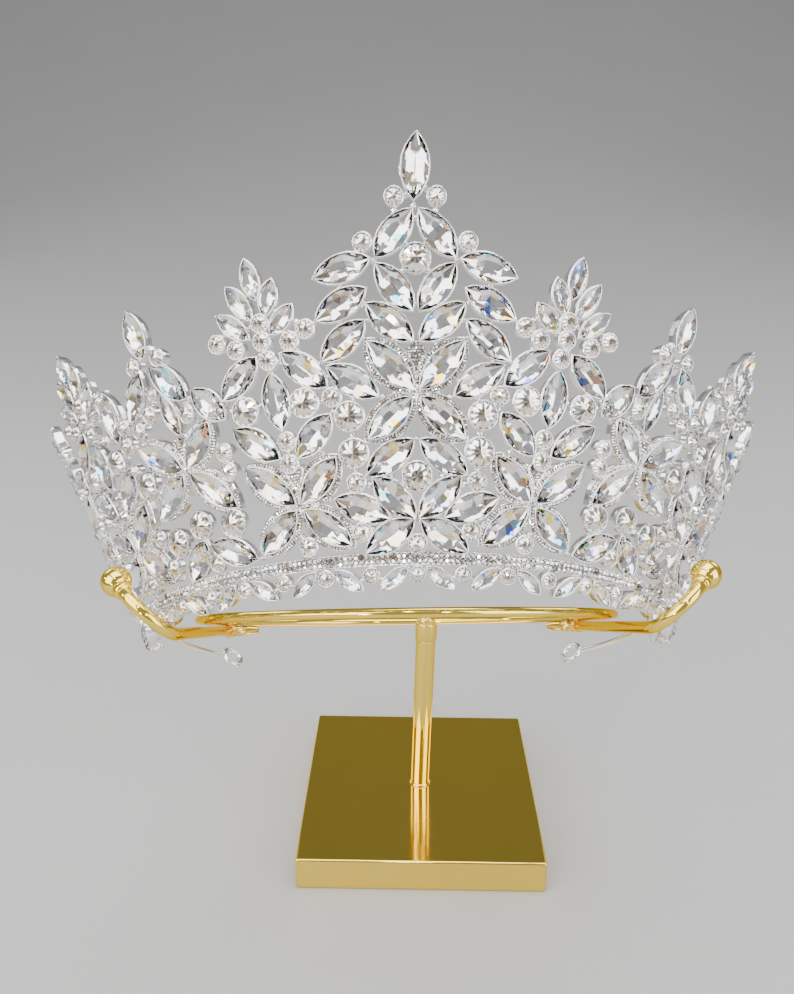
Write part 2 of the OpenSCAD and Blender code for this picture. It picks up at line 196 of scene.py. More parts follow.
# %% [markdown]
# ## Gold, as plated and polished
# The stand is brass with a mirror polish under a thin gold plate. A mirror has no pattern of its own, so
# what shows is the haze of handling: broad soft patches where the gloss drops a little, and hairlines
# left by the polishing wheel. Seen almost along a rod, a mirror goes white, so the gold's colour is set
# for its edges as well. The solder at the joints was only brushed over, so it is rougher, lumpy and a
# little redder.


# %% The gold finishes
WHEEL_LINES = (60, 2500, 60)
GOLD_EDGES = (1.0, 0.68, 0.12, 1.0)


def polished_gold():
    finish = Finish("polished_gold")
    haze = finish.grain(55, 3)
    drawn = finish.node("ShaderNodeMapping", {"Vector": finish.place, "Scale": WHEEL_LINES})
    lines = finish.node("ShaderNodeTexNoise", {"Vector": drawn, "Scale": 1.0, "Detail": 2})
    return finish.surface(
        Base_Color=finish.blend(haze, (0.96, 0.72, 0.13), (0.91, 0.66, 0.11)),
        Metallic=1.0,
        Specular_Tint=GOLD_EDGES,
        Roughness=0.03 + haze * 0.07 + lines * 0.02,
        Normal=finish.bump(lines, 0.000004, 0.25),
    )


def gold_solder():
    finish = Finish("gold_solder")
    lumps = finish.grain(900, 3)
    return finish.surface(
        Base_Color=finish.blend(lumps, (0.96, 0.70, 0.16), (0.82, 0.54, 0.10)),
        Metallic=1.0,
        Roughness=0.2 + lumps * 0.2,
        Normal=finish.bump(lumps, 0.0001, 0.6),
    )


POLISHED_GOLD = polished_gold()
GOLD_SOLDER = gold_solder()
print("gold finishes:", POLISHED_GOLD.name, GOLD_SOLDER.name)

# %% [markdown]
# ## Silver, foil and crystal
# The settings are bright rhodium over brass. The back of each stone is painted with a mirror foil, so
# light that enters the stone is thrown back by the facets of its back, which is why a cut crystal looks
# like a heap of white, grey and champagne patches with a few pure flashes. Blender's path tracer does
# the first part by itself, helped by painted light: the facets of the foil carry painted white, grey,
# champagne, lilac and dark patches. The flashes come from light split inside real lead glass, so here
# some facets of the foil carry the painted colour that such a flash would have. Each facet's number
# lies in an attribute, and a stepped ramp turns it into its painted colour. Only the long stones are
# clear glass. It bends light less than lead glass does, because light caught inside a stone for more
# than a few turns would come out black. Rounds and seeds are too small for a glass of their own, so
# their facets are mirrors with the same kind of painted patches and flashes. The metal bed under the
# seeds is painted dark and dull: painted shade, for the shadow that falls between stones.

# %% The silver, foil and crystal finishes
# Painted light on the foil's facets: white, grey, champagne, lilac and dark patches, and coloured flashes.
FOIL_PAINTED_LIGHT = [
    (0.0, (0.99, 0.99, 0.99)),
    (0.40, (0.92, 0.92, 0.94)),
    (0.50, (0.98, 0.85, 0.64)),
    (0.62, (0.89, 0.71, 0.48)),
    (0.68, (0.80, 0.79, 0.92)),
    (0.73, (0.50, 0.38, 0.28)),
    (0.77, (0.99, 0.98, 0.95)),
    (0.925, (0.34, 0.30, 0.30)),
    (0.945, (1.0, 0.80, 0.14)),
    (0.96, (0.28, 0.80, 1.0)),
    (0.975, (1.0, 0.46, 0.22)),
    (0.987, (0.14, 0.28, 0.96)),
]
# Painted light on the seeds' facets: white, champagne and dark patches and a few coloured flashes.
SEED_PAINTED_LIGHT = [
    (0.0, (0.99, 0.99, 0.99)),
    (0.44, (0.99, 0.91, 0.80)),
    (0.66, (0.84, 0.76, 0.70)),
    (0.75, (0.55, 0.44, 0.36)),
    (0.81, (0.98, 0.98, 0.99)),
    (0.945, (0.18, 0.14, 0.13)),
    (0.97, (1.0, 0.86, 0.55)),
    (0.985, (0.60, 0.78, 1.0)),
]


def painted_light_ramp(finish, stops):
    """The painted light, dark or flash colour that belongs to a facet's number."""
    number = finish.node("ShaderNodeAttribute", out="Fac", attribute_name="painted_light")
    return finish.node("ShaderNodeValToRGB", {"Fac": number}, stops=stops)


def bright_silver():
    finish = Finish("bright_silver")
    wear = finish.grain(300, 3)
    fine = finish.grain(3000)
    return finish.surface(
        Base_Color=finish.blend(wear, (0.97, 0.96, 0.95), (0.88, 0.87, 0.86)),
        Metallic=1.0,
        Roughness=0.10 + wear * 0.14,
        Normal=finish.bump(fine, 0.00002, 0.4),
    )


# Painted shade: the bed under the seeds is dark and dull, for the shadow that falls between stones.
def pave_bed_painted_shade():
    finish = Finish("pave_bed_painted_shade")
    wear = finish.grain(900, 3)
    return finish.surface(
        Base_Color=finish.blend(wear, (0.34, 0.31, 0.29), (0.13, 0.12, 0.11)),
        Metallic=1.0,
        Roughness=0.3 + wear * 0.3,
    )


# A mirror foil whose facets take painted light patches and painted flashes from the ramp.
def mirror_foil():
    finish = Finish("mirror_foil")
    wear = finish.grain(500)
    return finish.surface(
        Base_Color=finish.blend(wear * 0.1, painted_light_ramp(finish, FOIL_PAINTED_LIGHT), (0.9, 0.88, 0.86)),
        Metallic=1.0,
        Roughness=0.02 + wear * 0.05,
    )


def clear_crystal():
    finish = Finish("clear_crystal")
    breath = finish.grain(120)
    return finish.surface(
        Base_Color=finish.blend(breath, (1.0, 1.0, 1.0), (0.96, 0.97, 1.0)),
        Roughness=0.0,
        IOR=1.33,
        Transmission_Weight=1.0,
    )


# Seeds are mirrors whose facets take painted light patches and painted flashes from the ramp.
def seed_crystal():
    finish = Finish("seed_crystal")
    wear = finish.grain(700)
    return finish.surface(
        Base_Color=finish.blend(wear * 0.1, painted_light_ramp(finish, SEED_PAINTED_LIGHT), (0.92, 0.88, 0.84)),
        Metallic=1.0,
        Roughness=0.06 + wear * 0.10,
    )


BRIGHT_SILVER = bright_silver()
PAVE_BED_PAINTED_SHADE = pave_bed_painted_shade()
MIRROR_FOIL = mirror_foil()
CLEAR_CRYSTAL = clear_crystal()
SEED_CRYSTAL = seed_crystal()
print("crown finishes:", BRIGHT_SILVER.name, MIRROR_FOIL.name, CLEAR_CRYSTAL.name, SEED_CRYSTAL.name)

# %% [markdown]
# ## Where the crown's wall is
# A crown's wall is a band that opens outwards. Every setting is soldered flat on it, so one function
# gives the place and direction of any spot: so far along the wall, so far up it, and turned by a lean.
# All lengths are millimetres, as a jeweller measures, and one last matrix puts the crown on its stand
# and turns them into metres.

# %% The wall
FLARE = 28
BAND_RADIUS = 78
FRONT_HALF = 50
CORNER_RADIUS = 38
SIDE_RUN = 12
CORNER_MIDDLE = Vector((
    (BAND_RADIUS - CORNER_RADIUS) * math.sin(math.radians(FRONT_HALF)),
    -(BAND_RADIUS - CORNER_RADIUS) * math.cos(math.radians(FRONT_HALF)),
    0,
))


def turn(degrees, axis):
    return Matrix.Rotation(math.radians(degrees), 4, axis)


CROWN_PLACE = (-5.9, -52.3, 98.6)
CROWN_SPIN = 1.9
CROWN_LEAN = -44.4
CROWN_ROLL = -0.7
CROWN = (
    Matrix.Scale(MM, 4)
    @ Matrix.Translation(CROWN_PLACE)
    @ turn(CROWN_SPIN, "Z")
    @ turn(CROWN_LEAN, "X")
    @ turn(CROWN_ROLL, "Y")
)


def outward(height):
    return height * math.sin(math.radians(FLARE))


def front_arc(height):
    return math.radians(FRONT_HALF) * (BAND_RADIUS + outward(height))


def corner_arc(height):
    return math.radians(90 - FRONT_HALF) * (CORNER_RADIUS + outward(height))


def along(line, height):
    """Distance along the wall of a line at an angle round the band."""
    if line <= FRONT_HALF:
        return math.radians(line) * (BAND_RADIUS + outward(height))
    return front_arc(height) + math.radians(line - FRONT_HALF) * (CORNER_RADIUS + outward(height))


def on_wall(distance, height, lean=0):
    """A matrix whose +Y runs up the wall, before the lean, and whose +Z points outwards."""
    side = -1 if distance < 0 else 1
    past_front = abs(distance) - front_arc(height)
    past_corner = past_front - corner_arc(height)
    if past_front <= 0:
        radius = BAND_RADIUS + outward(height)
        angle = math.degrees(abs(distance) / radius)
        middle = Vector((0, 0, 0))
    else:
        radius = CORNER_RADIUS + outward(height)
        angle = min(90, FRONT_HALF + math.degrees(past_front / radius))
        middle = CORNER_MIDDLE + Vector((0, max(0, past_corner), 0))
    return (
        Matrix.Translation((side * middle.x, middle.y, height * math.cos(math.radians(FLARE))))
        @ turn(side * angle, "Z")
        @ Matrix.Translation((0, -radius, 0))
        @ turn(90 + FLARE, "X")
        @ turn(-lean, "Z")
    )


def on_panel(side, line, offset, height, lean=0):
    return on_wall(side * (along(line, height) + offset), height, side * lean)


BAND_END = front_arc(0) + corner_arc(0) + SIDE_RUN
print("band length:", round(2 * BAND_END, 1), "mm")

# %% [markdown]
# ## The design: where each stone sits
# A designer lays out half a crown and mirrors it. The tables below give, for each panel, the offset from
# the panel's centre line, the height up the wall, the lean and the length. Rounds need no lean and no
# length.

# %% Tables of the stones
FAN_LINE = 17.5
LINK_LINE = 27
CREST_LINE = 34.5
SIDE_FAN_LINE = 51
SIDE_LINK_LINE = 68
SIDE_CREST_LINE = 80
END_LINE = 90
CORNER_LINE = 43

APEX = (0, 80.6, 3, 14.4)
HEART_NAVETTES = [
    (4.5, 67.2, -39, 13.2), (15.2, 60.7, -76, 13.2), (4.4, 56.3, 37, 13.2), (15.5, 53.4, -63, 13.2),
    (5.4, 49.2, 50, 13.2), (15.1, 45.9, -52, 13.2), (13.1, 37.5, 56, 13.2), (23.5, 41, 48, 13.2),
    (5.5, 21.3, -55, 13.2), (4.7, 12.9, 44, 13.2), (11.4, 10.9, 67, 13.2), (5.6, 4.8, -57, 13.2),
]
FAN_LEAVES = [
    (2.4, 61.3, 7, 9.7), (-0.9, 56.9, -20, 8.7), (5.7, 57, 29, 10), (7.9, 52.4, 46, 10),
    (-3.1, 52, -45, 8.5),
]
FAN_NAVETTES = [(8.3, 41.5, -53, 13), (0.8, 35.3, 3, 13.2), (6.7, 27.2, 50, 13.2), (-6.2, 27, -45, 12.4)]
LINK_NAVETTES = [(0.9, 38, 41, 11.3), (2.9, 5.5, 65, 13.2)]
CREST_TIP = (2.8, 58.1, 4, 12.4)
CREST_NAVETTES = [(-2.8, 45.4, 40, 13.2), (8.1, 45.4, -40, 13.2), (2.5, 5.5, -43, 11.4)]
END_NAVETTES = [(7.2, 8.1, 8, 13.2), (7.6, 30.5, -12, 12.4)]
CORNER_NAVETTES = [(3.5, 44.2, 0, 13.2)]
CREST_LEAVES = [(-1, 38.4, 14, 11)]

HEART_SINGLES = [(0, 62.1), (0, 17.3)]
HEART_SMALL = [(4.4, 74.6), (10.9, 65.7), (17.5, 34.6), (12.6, 16.4), (11.4, 5.9)]
HEART_BEAD = [(0, 3.1)]
HEART_BIG = [(13.9, 30.3), (13.1, 22.6)]
FAN_SMALL = [
    (1.9, 48.2), (1.2, 44), (8, 47.6), (12.3, 49.8), (-4.1, 47.3), (-7.8, 49.3), (-0.2, 26.6), (0, 21.9),
    (-1.3, 3.8),
]
FAN_BEAD = [(1.7, 52)]
FAN_BIG = [(8.1, 34.4), (-5.2, 34.1)]
LINK_SMALL = [(-0.3, 27), (-0.3, 22.8)]
LINK_BIG = [(1.6, 11.7)]
CREST_SMALL = [(-1.8, 51.5), (5.9, 51.7), (-5.5, 37.4), (5.1, 40.5), (-2.4, 4)]
CREST_BIG = [(-0.7, 13.1), (7.3, 10.9)]
SIDE_LINK_SMALL = [(0, 12), (0, 25)]
END_SMALL = [(8, 39.5)]
END_BIG = [(7.4, 19.8)]
CORNER_SMALL = [(-4.6, 38), (1.3, 36.3), (0.2, 40.5), (0.3, 13.2), (-0.7, 5.9)]
CORNER_BIG = [(-1, 25.8)]
CORNER_TINY = [(8.4, 40.3), (1.4, 30.2)]
CREST_TINY = [(2.4, 44.2)]

HEART_FLOWER = ((0, 34.4), [(42, 15.9), (-42, 15.9), (132, 14.6), (-132, 14.6)])
FAN_FLOWER = ((-0.8, 12.4), [(47, 15.9), (-44, 14.3), (131, 14.1), (-132, 14.5)])
CREST_FLOWER = ((-1.1, 25.3), [(-46, 13.8), (54, 16.3), (-134, 16), (124, 15.1)])

SIDES = {"left": -1, "right": 1}
print("heart navettes on each side:", len(HEART_NAVETTES))

# %% [markdown]
# ## Outlines
# Two outlines make all the stones. A navette is the space between two arcs that meet in points, and a
# round is a circle. Their points run counterclockwise with a point on each tip, because the cutting
# later counts on it.

# %% Outlines of navettes and rounds
STONE_CORNERS = 16
ROUND_CORNERS = 24


def navette_outline(length, width, corners=STONE_CORNERS):
    radius = (length**2 + width**2) / (4 * width)
    half = math.asin(length / 2 / radius)
    side = []
    for step in range(corners // 2):
        angle = half * (4 * step / corners - 1)
        side.append(Vector((radius * (math.cos(angle) - 1) + width / 2, radius * math.sin(angle), 0)))
    return side + [-point for point in side]


def round_outline(width):
    angles = [2 * math.pi * step / ROUND_CORNERS for step in range(ROUND_CORNERS)]
    return [Vector((width / 2 * math.cos(angle), width / 2 * math.sin(angle), 0)) for angle in angles]


def petals(flower):
    """The petals of a flower: offset, height, lean and length of each."""
    (offset, height), rows = flower
    made = []
    for direction, length in rows:
        angle = math.radians(direction)
        across = offset + length / 2 * math.sin(angle)
        up = height + length / 2 * math.cos(angle)
        made.append((across, up, direction, length))
    return made


print("corners on a navette:", STONE_CORNERS, "and on a round:", ROUND_CORNERS)

# %% [markdown]
# ## One list of all seats
# Before cutting anything, the tables become one list: for each stone the CAD node that it belongs to,
# its place, the outline of its setting and the outline of the stone. From here on a single loop serves
# every kind of stone.

# %% Seats of the stones
NAVETTE_WIDTH = 6.6
LEAF_WIDTH = 4.6
PETAL_WIDTH = 8.4
PETAL_BORDER = 1.4
BIG_ROUND = 6.7
SMALL_ROUND = 4.4
TINY_ROUND = 3
RIM = 0.45
FIELD_HEIGHT = 2.4
MAIN_HEIGHT = 2.7

Seat = namedtuple("Seat", "node place rim stone top petal")
seats = []


def add_seat(node, place, outline, sizes, border, top):
    """A seat whose stone is smaller than its rim by the border on each side."""
    rim = outline(*sizes)
    stone = outline(*[size - 2 * border for size in sizes])
    seats.append(Seat(node, place, rim, stone, top, None))


def seat_navettes(node, side, line, rows, width=NAVETTE_WIDTH, top=FIELD_HEIGHT):
    for offset, height, lean, length in rows:
        place = on_panel(side, line, offset, height, lean)
        add_seat(node, place, navette_outline, (length, width), RIM, top)


def seat_rounds(node, side, line, rows, width, top=FIELD_HEIGHT):
    for offset, height in rows:
        add_seat(node, on_panel(side, line, offset, height), round_outline, (width,), RIM, top)


def seat_petal(node, side, line, row, top):
    offset, height, lean, length = row
    place = on_panel(side, line, offset, height, lean)
    stone_length = length - PETAL_BORDER - RIM
    stone_width = PETAL_WIDTH - 2 * PETAL_BORDER
    rim = navette_outline(stone_length + RIM, stone_width + RIM)
    stone = navette_outline(stone_length, stone_width)
    seats.append(Seat(node, place, rim, stone, top, length))


def seat_flower(node, side, line, flower, single):
    """A flower's petals: each its own node, or all in one field."""
    for number, row in enumerate(petals(flower), 1):
        name = f"{node}_petal_{number}" if single else node
        seat_petal(name, side, line, row, MAIN_HEIGHT if single else FIELD_HEIGHT)


def seat_fan(node, side, line):
    seat_navettes(node, side, line, FAN_LEAVES, LEAF_WIDTH)
    seat_navettes(node, side, line, FAN_NAVETTES)
    seat_rounds(node, side, line, FAN_SMALL, SMALL_ROUND)
    seat_rounds(node, side, line, FAN_BEAD, SMALL_ROUND)
    seat_rounds(node, side, line, FAN_BIG, BIG_ROUND)


def seat_crest(node, side, line):
    seat_navettes(node, side, line, CREST_NAVETTES)
    seat_rounds(node, side, line, CREST_SMALL, SMALL_ROUND)
    seat_rounds(node, side, line, CREST_BIG, BIG_ROUND)


seat_navettes("apex_stone", 1, 0, [APEX], top=MAIN_HEIGHT)
seat_rounds("upper_stone", 1, 0, HEART_SINGLES[:1], BIG_ROUND, MAIN_HEIGHT)
seat_rounds("lower_stone", 1, 0, HEART_SINGLES[1:], BIG_ROUND, MAIN_HEIGHT)
seat_flower("heart", 1, 0, HEART_FLOWER, True)
seat_rounds("heart_rounds", 1, 0, HEART_BEAD, SMALL_ROUND)
for name, side in SIDES.items():
    seat_navettes("heart_leaves", side, 0, HEART_NAVETTES)
    seat_rounds("heart_rounds", side, 0, HEART_SMALL, SMALL_ROUND)
    seat_rounds("heart_rounds", side, 0, HEART_BIG, BIG_ROUND)
    seat_flower(f"fan_{name}", side, FAN_LINE, FAN_FLOWER, True)
    seat_flower(f"crest_{name}", side, CREST_LINE, CREST_FLOWER, True)
    seat_navettes(f"crest_tip_{name}", side, CREST_LINE, [CREST_TIP], top=MAIN_HEIGHT)
    seat_fan(f"fan_stones_{name}", side, FAN_LINE)
    seat_navettes(f"fan_stones_{name}", side, LINK_LINE, LINK_NAVETTES)
    seat_rounds(f"fan_stones_{name}", side, LINK_LINE, LINK_SMALL, SMALL_ROUND)
    seat_rounds(f"fan_stones_{name}", side, LINK_LINE, LINK_BIG, BIG_ROUND)
    seat_crest(f"crest_stones_{name}", side, CREST_LINE)
    seat_fan(f"side_fan_stones_{name}", side, SIDE_FAN_LINE)
    seat_flower(f"side_fan_stones_{name}", side, SIDE_FAN_LINE, FAN_FLOWER, False)
    outer = f"side_crest_stones_{name}"
    seat_crest(outer, side, SIDE_CREST_LINE)
    seat_flower(outer, side, SIDE_CREST_LINE, CREST_FLOWER, False)
    seat_navettes(outer, side, SIDE_LINK_LINE, LINK_NAVETTES[:1])
    seat_rounds(outer, side, SIDE_LINK_LINE, SIDE_LINK_SMALL, SMALL_ROUND)
    seat_navettes(outer, side, SIDE_CREST_LINE, [CREST_TIP])
    seat_navettes(outer, side, END_LINE, END_NAVETTES)
    seat_rounds(outer, side, END_LINE, END_SMALL, SMALL_ROUND)
    seat_rounds(outer, side, END_LINE, END_BIG, BIG_ROUND)
    corner = f"corner_{name}"
    seat_navettes(corner, side, CORNER_LINE, CORNER_NAVETTES)
    seat_navettes(corner, side, CREST_LINE, CREST_LEAVES, LEAF_WIDTH)
    seat_rounds(corner, side, CORNER_LINE, CORNER_SMALL, SMALL_ROUND)
    seat_rounds(corner, side, CORNER_LINE, CORNER_BIG, BIG_ROUND)
    seat_rounds(corner, side, CORNER_LINE, CORNER_TINY, TINY_ROUND)
    seat_rounds(corner, side, CREST_LINE, CREST_TINY, TINY_ROUND)
print("seats on the wall:", len(seats))

# %% [markdown]
# The fringe hangs under the band: small rounds with a leaf between each two, leaning one way and then
# the other. Its rounds are too small to be solids in the CAD, so they show here only. The stones of the
# corner, between the second peak and the side panels, are dressing too: the CAD's frame has no seats for
# them.

# %% Seats of the fringe
FRINGE_STEP = 9.65
FRINGE_COUNT = 10
FRINGE_ROUND = 3.8
FRINGE_LEAF = (8.2, 3.8)
FRINGE_LEAN = 52
FRINGE_RIM = 0.4
FRINGE_ROUND_HEIGHT = -3.3
FRINGE_LEAF_HEIGHT = -4.1

for number in range(-FRINGE_COUNT, FRINGE_COUNT + 1):
    place = on_wall(number * FRINGE_STEP, FRINGE_ROUND_HEIGHT)
    node = "fringe_stones_left" if number < 0 else "fringe_stones_right"
    add_seat(node, place, round_outline, (FRINGE_ROUND,), FRINGE_RIM, FIELD_HEIGHT)
for name, side in SIDES.items():
    for number in range(FRINGE_COUNT):
        lean = side * FRINGE_LEAN * (-1 if number % 2 == 0 else 1)
        place = on_wall(side * (number + 0.5) * FRINGE_STEP, FRINGE_LEAF_HEIGHT, lean)
        add_seat(f"fringe_stones_{name}", place, navette_outline, FRINGE_LEAF, FRINGE_RIM, FIELD_HEIGHT)
print("seats with the fringe:", len(seats))


# %% [markdown]
# ## A pile of faces
# Hundreds of small shapes are cheapest as one mesh. A pile collects points and faces, each shape at its
# own place, with the number of a finish and a number for a painted light colour for every face, and
# turns into one object at the end.
# Every finished piece stands at the origin, with its place in its mesh, and rides on the body that the
# CAD calls root.


# %% The pile
def register(piece, node):
    """Puts a finished piece on the root body and hides the CAD node that it stands for."""
    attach(piece, "root")
    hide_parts(node)


class Pile:
    """Points and faces of many small shapes that become one mesh."""

    def __init__(self):
        self.points = []
        self.faces = []
        self.slots = []
        self.painted_lights = []

    def add(self, place, points, faces, slots=None, painted_lights=None):
        """A shape at a place. Without lists of its own it has the first finish and painted light number 0.
        """
        start = len(self.points)
        self.points.extend(place @ point for point in points)
        self.faces.extend([start + corner for corner in face] for face in faces)
        self.slots.extend(slots or [0] * len(faces))
        self.painted_lights.extend(painted_lights or [0.0] * len(faces))

    def make(self, name, finishes, smooth=False):
        mesh = bpy.data.meshes.new(name)
        mesh.from_pydata(self.points, [], self.faces)
        mesh.polygons.foreach_set("material_index", self.slots)
        mesh.polygons.foreach_set("use_smooth", [smooth] * len(self.faces))
        # Each face's number for its painted light colour, for the finishes that read it.
        attribute = mesh.attributes.new("painted_light", "FLOAT", "FACE")
        attribute.data.foreach_set("value", self.painted_lights)
        for finish in finishes:
            mesh.materials.append(finish)
        mesh.update()
        return put(name, mesh)


def ring(outline, scale, height, squeeze=1.0):
    """An outline made smaller and put at a height. Squeeze narrows it across its length as well."""
    return [Vector((point.x * scale * squeeze, point.y * scale, height)) for point in outline]


def wall(lower, upper, count):
    """Quads between two rings of points, facing away from the axis when upper lies above lower."""
    return [[lower + i, lower + (i + 1) % count, upper + (i + 1) % count, upper + i] for i in range(count)]


print("pile ready")

# %% [markdown]
# ## Cutting a stone
# A brilliant cut is three rings: the girdle, a middle ring at every second corner, and the table's
# corners in between. Triangles, kites and stars join them. The back of the stone is the same cut turned
# downwards and ending in a small face, or in a keel where the stone is long. The same function cuts both
# halves. The back's facets carry the foil, and a random number on each picks its painted light, dark or
# flash colour, always in the same order, so that each run gives the same crown. A round is cut to a low
# point instead of a table. It is so small that only the star of its facets is seen, light and dark in
# turn round a champagne heart, so its top carries that star as painted light: painted light and dark
# facets in turn round a painted champagne heart, from the foil's ramp. A shape is given in shares: a
# ring's size as a share of the girdle's, then its height as a share of the crown's or the back's.


# %% The brilliant cut
def brilliant(girdle, middle, table, count):
    """Faces of half a cut stone, pointing up: a ring of count corners, then two rings of half as many."""
    half = count // 2
    faces = []
    for k in range(half):
        even, odd, after = 2 * k, 2 * k + 1, (2 * k + 2) % count
        nxt = (k + 1) % half
        faces.append([girdle + even, girdle + odd, middle + k])
        faces.append([girdle + odd, girdle + after, middle + k])
        faces.append([girdle + after, middle + nxt, table + nxt, middle + k])
        faces.append([middle + k, table + nxt, table + k])
    faces.append([table + k for k in range(half)])
    return faces


def turned_over(faces):
    return [face[::-1] for face in faces]


GIRDLE_LOW = 1.0
GIRDLE_HIGH = 1.18
CROWN_MIDDLE = (0.80, 0.50)
TABLE_SHARE = 0.46
BACK_MIDDLE = (0.55, 0.60)
KEEL = (0.34, 0.14)
POINT = (0.16, 1.0)
NAVETTE_SLOPE = 0.24
ROUND_SLOPE = 0.38
POINT_RISE = 0.3
LONG_FROM = 1.2
# Painted light on a round's top: ramp bands for light and dark facets in turn, and for its heart.
ROUND_PAINTED_STAR = [(0.0, 0.5), (0.73, 0.765), (0.0, 0.68), (0.3, 0.62)]
ROUND_PAINTED_HEART = [(0.5, 0.68), (0.73, 0.765), (0.5, 0.62), (0.925, 0.944)]
chance = random.Random(7)


def is_long(outline):
    return max(point.y for point in outline) > LONG_FROM * max(point.x for point in outline)


def back_depth(stone):
    return (NAVETTE_SLOPE if is_long(stone) else ROUND_SLOPE) * max(point.x for point in stone)


def cut_stone(stone, top):
    """Points of a whole cut stone, its top's faces, and the others: the girdle's wall, then the back."""
    count = len(stone)
    half = count // 2
    rise = top - GIRDLE_HIGH
    depth = back_depth(stone)
    scale, squeeze = KEEL if is_long(stone) else POINT
    points = ring(stone, 1, GIRDLE_LOW)
    points += ring(stone, 1, GIRDLE_HIGH)
    points += ring(stone[1::2], CROWN_MIDDLE[0], GIRDLE_HIGH + rise * CROWN_MIDDLE[1])
    points += ring(stone[0::2], TABLE_SHARE, top if is_long(stone) else top - POINT_RISE)
    points += ring(stone[1::2], BACK_MIDDLE[0], GIRDLE_LOW - depth * BACK_MIDDLE[1])
    points += ring(stone[0::2], scale, GIRDLE_LOW - depth, squeeze)
    upper = brilliant(count, 2 * count, 2 * count + half, count)
    lower = wall(0, count, count) + turned_over(brilliant(0, 3 * count, 3 * count + half, count))
    if not is_long(stone):
        table = upper.pop()
        upper += [[a, b, len(points)] for a, b in zip(table, table[1:] + table[:1])]
        points.append(Vector((0, 0, top)))
    return points, upper, lower


def pick(bands, number):
    """A random number from one of some bands, which take turns; each band is a painted light or dark
    colour.
    """
    return chance.uniform(*bands[number % len(bands)])


def finished_stone(seat):
    """Points, faces, finish numbers and painted light numbers of the stone in a seat."""
    points, upper, lower = cut_stone(seat.stone, seat.top)
    count = len(seat.stone)
    if is_long(seat.stone):
        slots = [0] * len(upper) + [1] * len(lower)
        painted_lights = [0.0] * (len(upper) + count) + [chance.random() for _ in lower[count:]]
    else:
        slots = [1] * len(upper + lower)
        painted_lights = [pick(ROUND_PAINTED_STAR, number) for number in range(2 * count)]
        painted_lights += [pick(ROUND_PAINTED_HEART, number) for number in range(count // 2)]
        painted_lights += [0.0] * len(lower)
    return points, upper + lower, slots, painted_lights


sample = finished_stone(seats[0])
print("facets of the apex stone:", len(sample[1]))

# %% Cut every stone
stone_nodes = {}
for seat in seats:
    stone_nodes.setdefault(seat.node, []).append(seat)
for node, members in stone_nodes.items():
    pile = Pile()
    for seat in members:
        pile.add(CROWN @ seat.place, *finished_stone(seat))
    owner = "crown_frame" if node.startswith("corner") else node
    register(pile.make(f"{node}_cut", [CLEAR_CRYSTAL, MIRROR_FOIL]), owner)
print("cut stones:", len(seats), "in", len(stone_nodes), "pieces")

# %% [markdown]
# ## Cups
# Each stone sits in a cup: a thin wall that narrows to the back, a rim that is pushed over the girdle,
# and a flat back that is soldered to the wall's other cups. Under the petals of a flower the cup grows
# out of a wider plate, whose border is the bed for rows of seeds. Between the two upper petals of a
# flower a slim wedge carries seeds as well. All three are closed stacks of rings, so one function builds
# them. Sizes are millimetres, or shares of an outline.

# %% Cups and petal plates
CUP_BACK = -1.2
CUP_EDGE = 0.25
CUP_TAPER = 0.84
CUP_WIDENING = 0.06
CUP_SHOULDER = 0.5
CUP_PLAY = 1.01
CUP_FLOOR = 0.7
FLOOR_GAP = 0.12
LEDGE_GAP = 0.05
RIM_TOP = GIRDLE_HIGH + 0.12
RIM_CREST = 0.35
PLATE_BACK = (0.93, 0.97)
PLATE_TOP = 0.45
PLATE_LIP = 0.22
LIP_LENGTH = 0.9
LIP_WIDTH = 0.5
BED_RING = 4
PETAL_CORNERS = 32
WEDGE_LIP = 0.3
WEDGE_LEAST = 0.02
WEDGE_HALF = [(0.3, 0.1), (0.5, 0.7), (0.7, 1.7), (0.86, 2.2), (1.0, 0.8)]
WEDGES = [
    (0, HEART_FLOWER, 10.6), (FAN_LINE, FAN_FLOWER, 9.2), (CREST_LINE, CREST_FLOWER, 7.8),
    (SIDE_FAN_LINE, FAN_FLOWER, 9.2), (SIDE_CREST_LINE, CREST_FLOWER, 7.8),
]


def wedge_outline(reach, inset=0):
    """A slim kite whose long axis runs up from a flower's middle."""
    rows = [(share * reach, max(half - inset, WEDGE_LEAST)) for share, half in WEDGE_HALF]
    right = [Vector((half, height, 0)) for height, half in rows]
    left = [Vector((-half, height, 0)) for height, half in rows[::-1]]
    return right + left


def stack(rings):
    """Points and faces of a closed solid: each ring is joined to the next, and both ends are capped."""
    count = len(rings[0])
    faces = [[*range(count)][::-1]]
    for level in range(len(rings) - 1):
        faces += wall(level * count, (level + 1) * count, count)
    faces.append([(len(rings) - 1) * count + i for i in range(count)])
    return [point for one in rings for point in one], faces


def between(outer, inner, share, height):
    """A ring part of the way from an outer outline to an inner one."""
    return [Vector((*a.lerp(b, share).xy, height)) for a, b in zip(outer, inner)]


def rim_rings(rim, stone):
    """The rings of a rim and of the hollow under the stone."""
    return [
        ring(rim, 1.0, RIM_TOP - CUP_EDGE / 2),
        between(rim, stone, RIM_CREST, RIM_TOP),
        ring(stone, CUP_PLAY, RIM_TOP),
        ring(stone, CUP_PLAY, GIRDLE_LOW - LEDGE_GAP),
        ring(stone, CUP_FLOOR, GIRDLE_LOW - back_depth(stone) - FLOOR_GAP),
    ]


def cup(rim, stone):
    """A bare cup: its back, the edge round the back, its shoulder, and the rim."""
    lower = [
        ring(rim, CUP_TAPER, CUP_BACK),
        ring(rim, CUP_TAPER + CUP_WIDENING, CUP_BACK + CUP_EDGE),
        ring(rim, 1.0, CUP_SHOULDER),
    ]
    return stack(lower + rim_rings(rim, stone))


